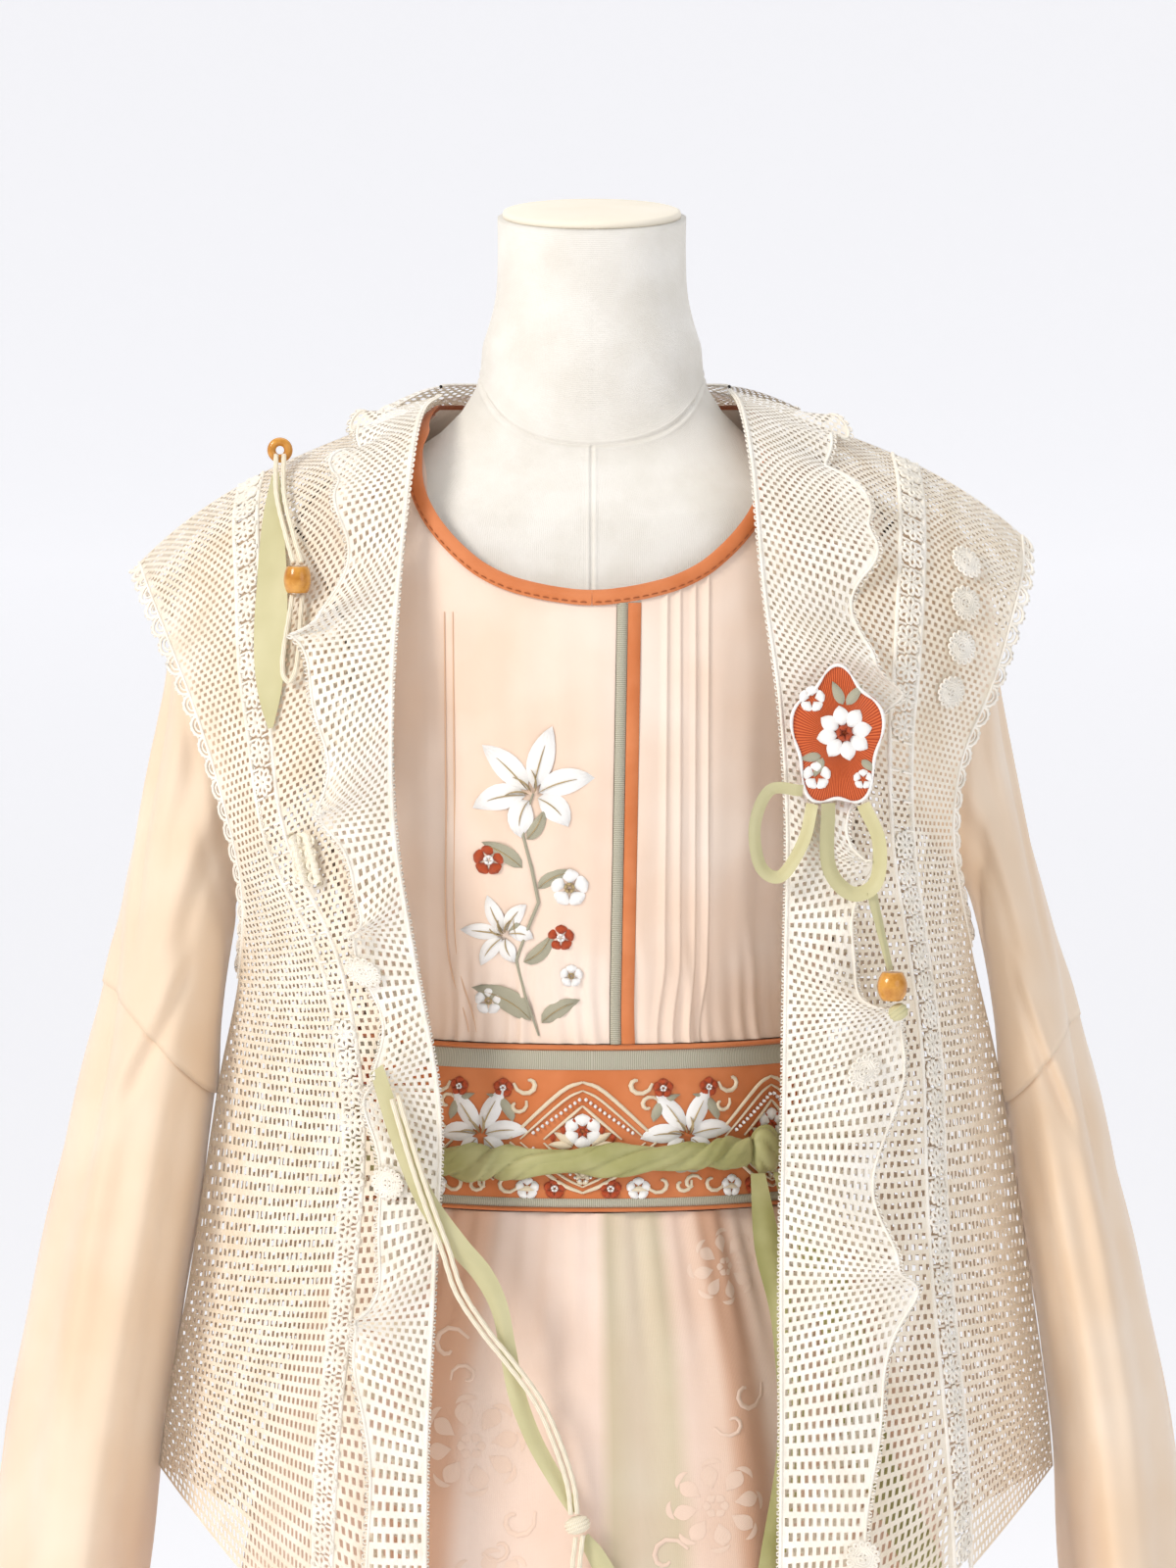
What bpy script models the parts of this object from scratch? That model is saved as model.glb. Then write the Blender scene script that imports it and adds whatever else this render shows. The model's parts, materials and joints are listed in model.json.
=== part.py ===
# A skirt set of the hanfu kind, worn on a limbless dress form on a stand.
# Metres, +Z up, floor at z = 0, the form's centre over the origin, the garment's front towards -Y.
# Sides are the wearer's: _r lies at -X, _l at +X.

import math

import bmesh
import bpy
import numpy as np
from mathutils import Matrix, Vector

# Driving dimensions
SEAM = 0.0003             # gap that two sewn pieces keep
SILK_WALL = 0.0012        # wall of bodice, sleeves and skirt
LACE_WALL = 0.0016        # wall of the crochet vest
NECK_TOP = 1.518          # height of the form's neck
NECK_TILT = math.radians(6)   # the neck's top slopes down to the front
BASE_RADIUS = 0.19
BASE_HEIGHT = 0.014
POLE_RADIUS = 0.0145
FORM_BOTTOM = 0.70
FORM_INSET = 0.0070       # the padded form stands this far inside the figure that the clothes follow
SHOULDER_INSET = 0.0130    # and so much more at its shoulders, which the bodice bridges
BODICE_EASE = 0.0025      # from that figure to the bodice's inner face
WAIST_TOP = 1.035
WAIST_BOTTOM = 0.9362
WAIST_HALF_WIDTH = 0.1375
WAIST_HALF_DEPTH = 0.1020
WAIST_WALL = 0.0016
WAIST_FLARE = 0.02        # how much wider each metre down the waistband is
WAIST_SIDES = 20
SKIRT_FOLDS = 14
SCALLOP_PITCH = 0.0129
SCALLOP_REACH = 0.0088
DAISY_PITCH = 0.0175
DAISY_WIDTH = 0.0160
DAISY_BAR = 0.0112        # height of a daisy, the rest of its pitch is open
DAISY_POST = 0.0040       # width of the thread that joins two daisies
CORD = 0.0030

# The figure from the neck down: height, half width, half depth, centre in y
FORM_RINGS = np.array([
    (1.518, 0.0562, 0.0565, 0.006),
    (1.495, 0.0560, 0.0565, 0.006),
    (1.470, 0.0575, 0.0580, 0.006),
    (1.443, 0.0650, 0.0620, 0.006),
    (1.415, 0.0765, 0.0680, 0.005),
    (1.397, 0.0960, 0.0720, 0.004),
    (1.382, 0.1220, 0.0770, 0.002),
    (1.366, 0.1480, 0.0820, 0.000),
    (1.348, 0.1670, 0.0870, 0.000),
    (1.322, 0.1760, 0.0930, -0.001),
    (1.280, 0.1720, 0.1010, -0.003),
    (1.230, 0.1620, 0.1100, -0.004),
    (1.170, 0.1560, 0.1150, -0.004),
    (1.110, 0.1460, 0.1080, -0.002),
    (1.050, 0.1310, 0.0970, 0.000),
    (0.975, 0.1220, 0.0900, 0.000),
    (0.900, 0.1380, 0.0990, 0.000),
    (0.800, 0.1640, 0.1110, 0.000),
    (0.730, 0.1630, 0.1100, 0.000),
    (0.700, 0.1540, 0.1030, 0.000),
])

# The neckline, seen from the front: distance from the centre, height. The last row is on the shoulder.
NECKLINE = np.array([
    (0.000, 1.3010), (0.030, 1.3050), (0.055, 1.3120), (0.074, 1.3250), (0.087, 1.3400),
    (0.0970, 1.3580), (0.0990, 1.3720), (0.0950, 1.3900), (0.0890, 1.4040),
])
BACK_NECK = 1.399

# Vest fronts: fold edge x, y, z, then armhole or side edge x, y, z
VEST_FRONT_R = np.array([
    (-0.0900, 0.012, 1.4097, -0.2690, 0.000, 1.314),
    (-0.1000, -0.040, 1.4015, -0.2620, -0.033, 1.300),
    (-0.1065, -0.078, 1.3680, -0.2500, -0.056, 1.272),
    (-0.1135, -0.106, 1.300, -0.2360, -0.064, 1.236),
    (-0.1170, -0.128, 1.235, -0.2187, -0.068, 1.181),
    (-0.1155, -0.134, 1.165, -0.2070, -0.056, 1.121),
    (-0.1030, -0.134, 1.085, -0.2105, -0.024, 1.066),
    (-0.0890, -0.137, 1.000, -0.2234, -0.012, 1.000),
    (-0.0920, -0.146, 0.905, -0.2400, -0.012, 0.890),
    (-0.0970, -0.158, 0.790, -0.2520, -0.012, 0.825),
    (-0.0970, -0.172, 0.620, -0.2590, -0.012, 0.773),
])
VEST_FRONT_L = np.array([
    (0.0820, 0.012, 1.4128, 0.2560, 0.000, 1.330),
    (0.0880, -0.042, 1.4030, 0.2550, -0.031, 1.313),
    (0.0945, -0.080, 1.3680, 0.2490, -0.053, 1.289),
    (0.1010, -0.106, 1.300, 0.2360, -0.062, 1.245),
    (0.1100, -0.128, 1.235, 0.2180, -0.068, 1.200),
    (0.1140, -0.134, 1.165, 0.2140, -0.060, 1.150),
    (0.1130, -0.134, 1.085, 0.2260, -0.026, 1.085),
    (0.1120, -0.137, 1.000, 0.2440, -0.012, 1.005),
    (0.1105, -0.146, 0.905, 0.2600, -0.012, 0.900),
    (0.1105, -0.158, 0.790, 0.2715, -0.012, 0.820),
    (0.1085, -0.172, 0.620, 0.2760, -0.012, 0.773),
])
ARMHOLE_FOOT = 6          # the row of both tables where the armhole ends and the side seam starts
# The middle of each daisy band: share of the way down, share of the way across
DAISY_PATH_R = (
    (0.00, 0.63), (0.20, 0.67), (0.34, 0.72), (0.46, 0.74), (0.60, 0.45), (0.68, 0.39), (1.00, 0.385),
)
DAISY_PATH_L = ((0.00, 0.60), (0.28, 0.62), (0.50, 0.69), (0.66, 0.70), (0.75, 0.65), (1.00, 0.66))
PLAIN_STRETCH_R = (0.430, 0.630)   # here the daisies of the wearer's right front stop
PLAIN_STRETCH_L = (0.400, 0.500)
VEST_ROWS = np.array([0, 0.05, 0.10, 0.15, 0.20, 0.26, 0.33, 0.40, 0.47, 0.54, 0.60, 0.69, 0.79, 0.89, 1.0])

# Vest back: share of the way down, and how far its centre stands behind its two folds
VEST_BACK_BULGE = ((0.0, 0.084), (0.1, 0.046), (0.2, 0.018), (0.3, 0.007), (1.0, 0.004))
BACK_FOLD = 0.33          # share of the half width where the back turns from the neck to the shoulder

# Waterfall ruffles: share of the way down, width, how far the waves stand off, how far they sag
RUFFLE_R = np.array([
    (0.00, 0.044, 0.006, 0.002), (0.10, 0.050, 0.012, 0.008), (0.20, 0.046, 0.016, 0.012),
    (0.32, 0.060, 0.020, 0.015), (0.43, 0.056, 0.018, 0.015), (0.53, 0.042, 0.016, 0.012),
    (0.66, 0.048, 0.018, 0.014), (0.80, 0.052, 0.020, 0.015), (1.00, 0.058, 0.022, 0.015),
])
RUFFLE_L = np.array([
    (0.00, 0.062, 0.006, 0.002), (0.12, 0.066, 0.010, 0.006), (0.24, 0.072, 0.012, 0.010),
    (0.36, 0.074, 0.014, 0.012), (0.47, 0.054, 0.018, 0.014), (0.56, 0.058, 0.020, 0.014),
    (0.68, 0.090, 0.024, 0.016), (0.82, 0.090, 0.024, 0.016), (1.00, 0.080, 0.024, 0.015),
])
RUFFLE_WAVES_R = 7.5
RUFFLE_WAVES_L = 6.5
RUFFLE_BASE = 0.0030      # from the vest to the ruffle's wall at the fold edge

# Sleeves: outer x, z, inner x, z, half depth, bend round the shoulder
SLEEVE_R = np.array([
    (0.1804, 1.338, 0.1634, 1.191, 0.055, 0.026),
    (0.2140, 1.333, 0.1800, 1.172, 0.050, 0.006),
    (0.2430, 1.300, 0.2010, 1.140, 0.047, 0.000),
    (0.2530, 1.238, 0.2120, 1.115, 0.048, 0.000),
    (0.2710, 1.152, 0.2155, 1.092, 0.052, 0.000),
    (0.2870, 1.066, 0.2270, 1.000, 0.064, 0.000),
    (0.3170, 0.947, 0.2405, 0.915, 0.082, 0.000),
    (0.3410, 0.830, 0.2560, 0.812, 0.096, 0.000),
    (0.3590, 0.720, 0.2690, 0.710, 0.108, 0.000),
    (0.3810, 0.600, 0.2820, 0.600, 0.118, 0.000),
])
SLEEVE_L = np.array([
    (0.1799, 1.338, 0.1629, 1.191, 0.055, 0.026),
    (0.2060, 1.340, 0.1810, 1.175, 0.050, 0.006),
    (0.2340, 1.306, 0.2030, 1.148, 0.045, 0.000),
    (0.2420, 1.238, 0.2180, 1.128, 0.046, 0.000),
    (0.2600, 1.150, 0.2310, 1.100, 0.050, 0.000),
    (0.2870, 1.046, 0.2480, 0.995, 0.062, 0.000),
    (0.3150, 0.935, 0.2630, 0.905, 0.080, 0.000),
    (0.3380, 0.830, 0.2768, 0.812, 0.094, 0.000),
    (0.3570, 0.720, 0.2838, 0.710, 0.106, 0.000),
    (0.3800, 0.600, 0.2900, 0.600, 0.118, 0.000),
])
ELBOW = 5                 # the ring where the lower sleeve is sewn on

# Skirt: height, half width, half depth, fold depth. Its top is sewn to the waistband's foot.
SKIRT_RINGS = np.array([
    (WAIST_BOTTOM - 0.0008, 0.1390, 0.1030, 0.0015),
    (0.8400, 0.1770, 0.1260, 0.0040),
    (0.6600, 0.2140, 0.1490, 0.0075),
    (0.3600, 0.2620, 0.1940, 0.0115),
    (0.0360, 0.3050, 0.2450, 0.0140),
])

# Colours, as linear values
LINEN = (0.81, 0.79, 0.75)
CREAM = (0.90, 0.83, 0.70)
IRON = (0.72, 0.70, 0.66)
PEACH = (0.89, 0.70, 0.55)
SILK = (0.83, 0.63, 0.43)
ORANGE = (0.69, 0.25, 0.08)
SAGE = (0.42, 0.40, 0.30)
LACE = (0.92, 0.87, 0.79)
SKIRT_PINK = (0.84, 0.63, 0.50)
SASH_GREEN = (0.39, 0.43, 0.17)
STRAP_GREEN = (0.55, 0.57, 0.27)
CORD_CREAM = (0.81, 0.74, 0.58)
WOOD = (0.58, 0.29, 0.04)
RUST = (0.58, 0.10, 0.04)
WHITE = (0.87, 0.85, 0.82)


def clear_scene():
    for obj in list(bpy.data.objects):
        bpy.data.objects.remove(obj, do_unlink=True)


def collection_of(name):
    made = bpy.data.collections.new(name)
    bpy.context.scene.collection.children.link(made)
    return made


def material(name, colour, roughness):
    """A Principled material, made once for each name."""
    if name in bpy.data.materials:
        return bpy.data.materials[name]
    made = bpy.data.materials.new(name)
    made.use_nodes = True
    shader = made.node_tree.nodes["Principled BSDF"]
    shader.inputs["Base Color"].default_value = (*colour, 1)
    shader.inputs["Roughness"].default_value = roughness
    return made


def through(knots, values, at):
    """A smooth curve through values at their knots, read at the parameters at."""
    knots = np.asarray(knots, float)
    values = np.asarray(values, float)
    slopes = np.gradient(values, knots, axis=0)
    at = np.clip(np.asarray(at, float), knots[0], knots[-1])
    i = np.clip(np.searchsorted(knots, at, side="right") - 1, 0, len(knots) - 2)
    h = knots[i + 1] - knots[i]
    t = (at - knots[i]) / h
    if values.ndim > 1:
        h, t = h[..., None], t[..., None]
    return (
        values[i] * (1 + 2 * t) * (1 - t) ** 2
        + slopes[i] * h * t * (1 - t) ** 2
        + values[i + 1] * t * t * (3 - 2 * t)
        + slopes[i + 1] * h * t * t * (t - 1)
    )


def unit(vectors):
    return vectors / np.linalg.norm(vectors, axis=-1, keepdims=True)


def add(obj, look, smooth=True):
    obj.data.materials.append(look)
    if smooth and obj.type == "MESH":
        obj.data.shade_smooth()
    HANFU.objects.link(obj)
    return obj


def sheet(name, points, look, wall=SILK_WALL, closed=False, holes=(), inside=None):
    """A grid of points as cloth: quads, but for the holes, with the wall growing away from the inside."""
    if inside is None:
        inside = points * (0, 0, 1)
    facing = np.cross(np.gradient(points, axis=1), np.gradient(points, axis=0))
    if np.sum(facing * (points - inside)) < 0:
        points = points[:, ::-1]
        holes = [(i, points.shape[1] - 2 - j) for i, j in holes]
    rows, columns = points.shape[:2]
    across = columns if closed else columns - 1
    holes = set(holes)
    faces = [
        quad(i, j, columns)
        for i in range(rows - 1)
        for j in range(across)
        if (i, j) not in holes
    ]
    mesh = bpy.data.meshes.new(name)
    mesh.from_pydata(points.reshape(-1, 3).tolist(), [], faces)
    if holes:
        drop_loose_points(mesh)
    obj = add(bpy.data.objects.new(name, mesh), look)
    thicken(obj, wall)
    return obj


def quad(i, j, columns):
    """A face of a grid of points, whose rows may close."""
    after = (j + 1) % columns
    return i * columns + j, i * columns + after, (i + 1) * columns + after, (i + 1) * columns + j


def drop_loose_points(mesh):
    bm = bmesh.new()
    bm.from_mesh(mesh)
    loose = [point for point in bm.verts if not point.link_faces]
    bmesh.ops.delete(bm, geom=loose, context="VERTS")
    bm.to_mesh(mesh)
    bm.free()


def thicken(obj, wall):
    solid = obj.modifiers.new("Wall", "SOLIDIFY")
    solid.thickness = wall
    solid.offset = 1


def loft(name, rings, look):
    """A closed body through rings of points, with a flat fan at each end."""
    count, sides = rings.shape[:2]
    faces = [quad(i, j, sides) for i in range(count - 1) for j in range(sides)]
    faces += [tuple(range(sides))[::-1], tuple((count - 1) * sides + j for j in range(sides))]
    mesh = bpy.data.meshes.new(name)
    mesh.from_pydata(rings.reshape(-1, 3).tolist(), [], faces)
    bm = bmesh.new()
    bm.from_mesh(mesh)
    bmesh.ops.recalc_face_normals(bm, faces=bm.faces)
    bm.to_mesh(mesh)
    bm.free()
    return add(bpy.data.objects.new(name, mesh), look)


def tube(name, points, diameter, look, resolution=2):
    """A cord or thread along points, with filled ends."""
    curve = bpy.data.curves.new(name, "CURVE")
    curve.dimensions = "3D"
    curve.bevel_depth = diameter / 2
    curve.bevel_resolution = resolution
    curve.use_fill_caps = True
    spline = curve.splines.new("POLY")
    spline.points.add(len(points) - 1)
    for point, place in zip(spline.points, points):
        point.co = (*place, 1)
    return add(bpy.data.objects.new(name, curve), look)


def turned(name, profile, place, turn, look, steps=16):
    """A closed profile of radius and height, turned about its own axis."""
    mesh = bpy.data.meshes.new(name)
    points = [(radius, 0, height) for radius, height in profile]
    mesh.from_pydata(points, [(i, (i + 1) % len(points)) for i in range(len(points))], [])
    obj = add(bpy.data.objects.new(name, mesh), look, smooth=False)
    screw = obj.modifiers.new("Turn", "SCREW")
    screw.steps = screw.render_steps = steps
    screw.use_merge_vertices = True
    screw.merge_threshold = 0.00001
    screw.use_normal_calculate = True
    screw.use_smooth_shade = True
    obj.matrix_world = Matrix.Translation(place) @ turn
    return obj


def figure(height):
    """Half width, half depth and centre of the form's ring at a height."""
    order = FORM_RINGS[::-1]
    ring = through(order[:, 0], order[:, 1:], height)
    return ring[..., 0], ring[..., 1], ring[..., 2]


def round_figure(angle, height, ease):
    """A point round the form, at an angle from its front towards +X, moved out by an ease."""
    width, depth, centre = figure(height)
    return np.stack(
        [(width + ease) * np.sin(angle), centre - (depth + ease) * np.cos(angle), height + 0 * angle], axis=-1
    )


def neckline_height(angle):
    """Height of the neckline at an angle round the form, the same on both sides."""
    turn = np.abs((angle + math.pi) % (2 * math.pi) - math.pi)
    width = figure(NECKLINE[:, 1])[0] + BODICE_EASE
    angles = np.arcsin(np.clip(NECKLINE[:, 0] / width, 0, 1))
    angles[-1] = math.pi / 2
    knots = np.append(angles, math.pi)
    heights = np.append(NECKLINE[:, 1], BACK_NECK)
    return np.interp(turn, knots, heights)


# Dress form

def make_form():
    linen = material("linen", LINEN, 0.9)
    sides = 20
    angle = np.arange(sides) * 2 * math.pi / sides
    rings = []
    for height, width, depth, centre in FORM_RINGS:
        inset = FORM_INSET * np.clip((FORM_RINGS[3, 0] - height) / 0.035, 0, 1)
        inset += SHOULDER_INSET * math.exp(-((height - 1.378) / 0.022) ** 2)
        width, depth = width - inset, depth - inset
        ring = np.stack(
            [width * np.sin(angle), centre - depth * np.cos(angle), np.full(sides, height)], axis=-1
        )
        lean = np.clip((height - 1.443) / (NECK_TOP - 1.443), 0, 1)
        ring[:, 2] += lean * math.tan(NECK_TILT) * ring[:, 1]
        rings.append(ring)
    loft("form_torso", np.array(rings), linen)
    cap_turn = Matrix.Rotation(NECK_TILT, 4, "X")
    cap_profile = [(0, 0.0), (0.0530, 0.0), (0.0530, 0.0025), (0.0515, 0.0040), (0, 0.0040)]
    cap_place = Vector((0, FORM_RINGS[0, 3], NECK_TOP + FORM_RINGS[0, 3] * math.tan(NECK_TILT) + SEAM))
    turned("form_neck_cap", cap_profile[::-1], cap_place, cap_turn, material("cream board", CREAM, 0.7), 22)
    iron = material("painted iron", IRON, 0.4)
    base_profile = [
        (0, BASE_HEIGHT), (BASE_RADIUS - 0.006, BASE_HEIGHT), (BASE_RADIUS, BASE_HEIGHT - 0.005),
        (BASE_RADIUS, 0.0), (0, 0.0),
    ]
    turned("form_base", base_profile, Vector((0, 0, 0)), Matrix.Identity(4), iron, 26)
    pole_foot = BASE_HEIGHT + SEAM
    pole_profile = [
        (0, FORM_BOTTOM - SEAM), (POLE_RADIUS, FORM_BOTTOM - SEAM), (POLE_RADIUS, pole_foot + 0.03),
        (0.026, pole_foot + 0.02), (0.026, pole_foot), (0, pole_foot),
    ]
    turned("form_pole", pole_profile, Vector((0, 0, 0)), Matrix.Identity(4), iron, 12)


# Bodice

ARMHOLE_TURN = math.radians(37)   # half of the armhole, round the figure
ARMHOLE_MIDDLE = 1.265
ARMHOLE_HALF = 0.075      # half of its height
# Shares of the way down from the neckline; four of them meet the armhole
BODICE_ROWS = np.array([0, 0.035, 0.08, 0.125, 0.172, 0.272, 0.371, 0.470, 0.570, 0.72, 0.86, 1.0])
ARMHOLE_ROWS = (4, 8)
CHEST_WIDTH = 0.176       # half of the figure at the chest, where the columns are measured
FRONT_COLUMNS = (0.060, 0.090, 0.0985, 0.108, 0.1405, 0.160, CHEST_WIDTH)
TUCKS = (0.0440, 0.0515, 0.0605, 0.0680)
TUCK_RISE = 0.0012        # how far each tuck's fold stands out
PLACKET_TOP = 0.0205      # the placket's middle from the centre, at the neckline
PLACKET_FOOT = 0.0158     # and at the waistband
PLACKET_HEIGHT = 1.2940   # where its strips start, under the neck binding


def placket_line(height):
    """Distance of the placket's middle from the centre, at a height."""
    share = (height - WAIST_TOP) / (NECKLINE[0, 1] - WAIST_TOP)
    return PLACKET_FOOT + (PLACKET_TOP - PLACKET_FOOT) * share


def column_angle(chest, height, ease):
    """Angle of a column of the bodice: straight near the centre, following the figure at the side."""
    width = figure(height)[0] + ease
    follow = np.clip(np.abs(chest) / CHEST_WIDTH, 0, 1) ** 3
    across = chest * ((1 - follow) + follow * width / (CHEST_WIDTH + ease))
    return np.arcsin(np.clip(across / width, -1, 1))


def column_top(chest, ease):
    heights = np.linspace(1.29, 1.41, 600)
    above = heights >= neckline_height(column_angle(chest, heights, ease))
    return heights[np.argmax(above)]


def bodice_front(columns, side, ease, rows=BODICE_ROWS):
    """Grid of a front: rows from the neckline down to the waist, columns from the placket to the side."""
    angles, heights = [], []
    for chest in columns:
        top = column_top(chest, ease)
        height = top + rows * (WAIST_TOP + SEAM - top)
        angle = column_angle(np.full(len(rows), chest), height, ease)
        if abs(chest) < 0.03:
            width = figure(height)[0] + ease
            shift = placket_line(height) - PLACKET_TOP
            angle = np.arcsin(np.clip((chest + side * shift) / width, -1, 1))
        angles.append(angle)
        heights.append(height)
    return np.array(angles).T, np.array(heights).T


def round_armhole(angles, heights, first_column):
    """Moves the edge of the armhole's hole onto an ellipse about the side."""
    for i in range(ARMHOLE_ROWS[0], ARMHOLE_ROWS[1] + 1):
        for j in range(first_column, angles.shape[1]):
            a = (math.pi / 2 - angles[i, j]) / ARMHOLE_TURN
            b = (heights[i, j] - ARMHOLE_MIDDLE) / ARMHOLE_HALF
            if i in ARMHOLE_ROWS or j == first_column:
                reach = math.hypot(a, b)
                angles[i, j] = math.pi / 2 - a / reach * ARMHOLE_TURN
                heights[i, j] = ARMHOLE_MIDDLE + b / reach * ARMHOLE_HALF
    return angles, heights


def armhole_holes(first_column, last_column):
    return [(i, j) for i in range(*ARMHOLE_ROWS) for j in range(first_column, last_column)]


def make_bodice():
    silk = material("peach silk", PEACH, 0.45)
    ease = BODICE_EASE
    plain = (-0.0125, 0.020, 0.040) + FRONT_COLUMNS
    angles, heights = bodice_front(plain, -1, ease)
    hole_start = plain.index(0.1405)
    angles, heights = round_armhole(angles, heights, hole_start)
    points = round_figure(-angles, heights, ease)
    points[-1] = waist_ring(WAIST_TOP + SEAM, 0, -angles[-1])
    holes = armhole_holes(hole_start, len(plain) - 1)
    sheet("bodice_front_r", points, silk, holes=holes)

    feet = [0.0400] + [(a + b) / 2 for a, b in zip(TUCKS, TUCKS[1:])] + [0.0720]
    tucked = [0.0295, feet[0]]
    lifts = [0, 0]
    for tuck, foot in zip(TUCKS, feet[1:]):
        tucked += [tuck, foot]
        lifts += [TUCK_RISE, 0]
    tucked += FRONT_COLUMNS[1:]
    lifts += [0] * (len(FRONT_COLUMNS) - 1)
    angles, heights = bodice_front(tucked, 1, ease)
    hole_start = tucked.index(0.1405)
    angles, heights = round_armhole(angles, heights, hole_start)
    points = round_figure(angles, heights, ease)
    points[-1] = waist_ring(WAIST_TOP + SEAM, 0, angles[-1])
    points += np.array(lifts)[None, :, None] * unit(points * (1, 1, 0))
    sheet("bodice_front_l", points, silk, holes=armhole_holes(hole_start, len(tucked) - 1))
    make_bodice_back(silk, ease)
    make_placket(ease)
    make_neck_binding(ease)


def make_bodice_back(silk, ease):
    turn = np.radians([0.2, 19, 37, 53, 70, 90, 110, 127, 143, 161, 179.8]) + math.pi / 2
    top = neckline_height(turn)
    heights = top + BODICE_ROWS[:, None] * (WAIST_TOP + SEAM - top)
    angles = np.tile(turn, (len(BODICE_ROWS), 1))
    for i in range(ARMHOLE_ROWS[0], ARMHOLE_ROWS[1] + 1):
        for j in (0, 1, 2, 8, 9, 10):
            side = math.pi / 2 if j < 3 else 3 * math.pi / 2
            a = (angles[i, j] - side) / ARMHOLE_TURN
            b = (heights[i, j] - ARMHOLE_MIDDLE) / ARMHOLE_HALF
            if i in ARMHOLE_ROWS or j in (2, 8):
                reach = math.hypot(a, b)
                angles[i, j] = side + a / reach * ARMHOLE_TURN
                heights[i, j] = ARMHOLE_MIDDLE + b / reach * ARMHOLE_HALF
    points = round_figure(angles, heights, ease)
    points[-1] = waist_ring(WAIST_TOP + SEAM, 0, angles[-1])
    holes = armhole_holes(0, 2) + armhole_holes(8, 10)
    sheet("bodice_back", points, silk, holes=holes)


def placket_strip(left, right, ease):
    """A strip down the placket, between two distances from its middle."""
    rows = np.linspace(0, 1, 9)
    height = PLACKET_HEIGHT + rows * (WAIST_TOP + SEAM - PLACKET_HEIGHT)
    heights = np.tile(height[:, None], (1, 2))
    across = placket_line(heights) + np.array([left, right])
    angles = np.arcsin(across / (figure(heights)[0] + ease))
    strip = round_figure(angles, heights, ease)
    strip[-1] = waist_ring(WAIST_TOP + SEAM, ease - BODICE_EASE, angles[-1])
    return strip


def make_placket(ease):
    sage = material("grey-green satin stitch", SAGE, 0.5)
    orange = material("orange silk", ORANGE, 0.5)
    raised = ease + SILK_WALL + SEAM + 0.0003
    sheet("placket_piping", placket_strip(-0.0056, 0.0004, raised), sage, 0.0014)
    sheet("placket_binding", placket_strip(0.0007, 0.0083, raised), orange, 0.0010)


def make_neck_binding(ease):
    """A strip that follows the neckline all round, lying on the bodice's edge."""
    turn = np.radians([
        0, 9, 18, 26, 34, 42, 50, 58, 68, 79, 90, 108, 126, 144, 162,
        180, 198, 216, 234, 252, 270, 281, 292, 302, 310, 318, 326, 334, 342, 351,
    ])
    heights = neckline_height(turn)
    edge = round_figure(turn, heights, ease)
    along = unit(np.roll(edge, -1, axis=0) - np.roll(edge, 1, axis=0))
    lower = round_figure(turn, heights - 0.002, ease)
    outward = np.stack([np.sin(turn), -np.cos(turn), 0.6 + 0 * turn], axis=-1)
    down = unit(lower - edge)
    down = unit(down - along * np.sum(down * along, axis=-1, keepdims=True))
    face = unit(np.cross(along, down))
    face *= np.sign(np.sum(face * outward, axis=-1, keepdims=True))
    raised = edge + face * (SILK_WALL + 6 * SEAM)
    points = np.stack([raised - down * 0.0010, raised + down * 0.0080], axis=0)
    below = edge.mean(axis=0) - (0, 0, 0.1)
    sheet("neck_binding", points, material("orange silk", ORANGE, 0.5), 0.0014, closed=True, inside=below)


# Sleeves

def sleeve_grid(rings, side, sides=14):
    """Rings of a sleeve: an ellipse between an outer and an inner point, with folds that grow downward."""
    turn = np.arange(sides) * 2 * math.pi / sides
    grid = []
    for count, (outer_x, outer_z, inner_x, inner_z, depth, bend) in enumerate(rings):
        outer = np.array([outer_x, outer_z])
        inner = np.array([inner_x, inner_z])
        middle, half = (outer + inner) / 2, (outer - inner) / 2
        fall = np.clip((1.15 - outer_z) / 0.5, 0, 1)
        wave = 1 + fall * (0.07 * np.cos(4 * turn + 0.6) + 0.03 * np.cos(7 * turn))
        keep_inner = np.clip((1 + np.cos(turn)) / 0.7, 0, 1)
        wave = 1 + (wave - 1) * keep_inner
        flat = middle + half * (np.cos(turn) * wave)[:, None]
        y = depth * np.sin(turn) * wave
        x = flat[:, 0] - bend * np.sin(turn) ** 2
        grid.append(np.stack([side * x, y, flat[:, 1]], axis=-1))
    return np.array(grid)


def make_sleeves():
    silk = material("warm silk", SILK, 0.45)
    for name, side, rings in (("r", -1, SLEEVE_R), ("l", 1, SLEEVE_L)):
        upper = sleeve_grid(rings[: ELBOW + 1], side)
        lower = sleeve_grid(rings[ELBOW:], side)
        lower[0, :, 2] -= SEAM
        upper[-1, :, 2] += SEAM
        for part, grid in (("upper", upper), ("lower", lower)):
            middle = grid.mean(axis=1, keepdims=True)
            sheet("sleeve_" + part + "_" + name, grid, silk, closed=True, inside=middle)


# Waistband

def waist_ring(height, out, turn):
    """Points round the waist: the waistband's own ellipse, moved out."""
    out = out + WAIST_FLARE * (WAIST_TOP - height)
    width, depth = WAIST_HALF_WIDTH + out, WAIST_HALF_DEPTH + out
    return np.stack([width * np.sin(turn), -depth * np.cos(turn), np.full(len(turn), height)], axis=-1)


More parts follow.
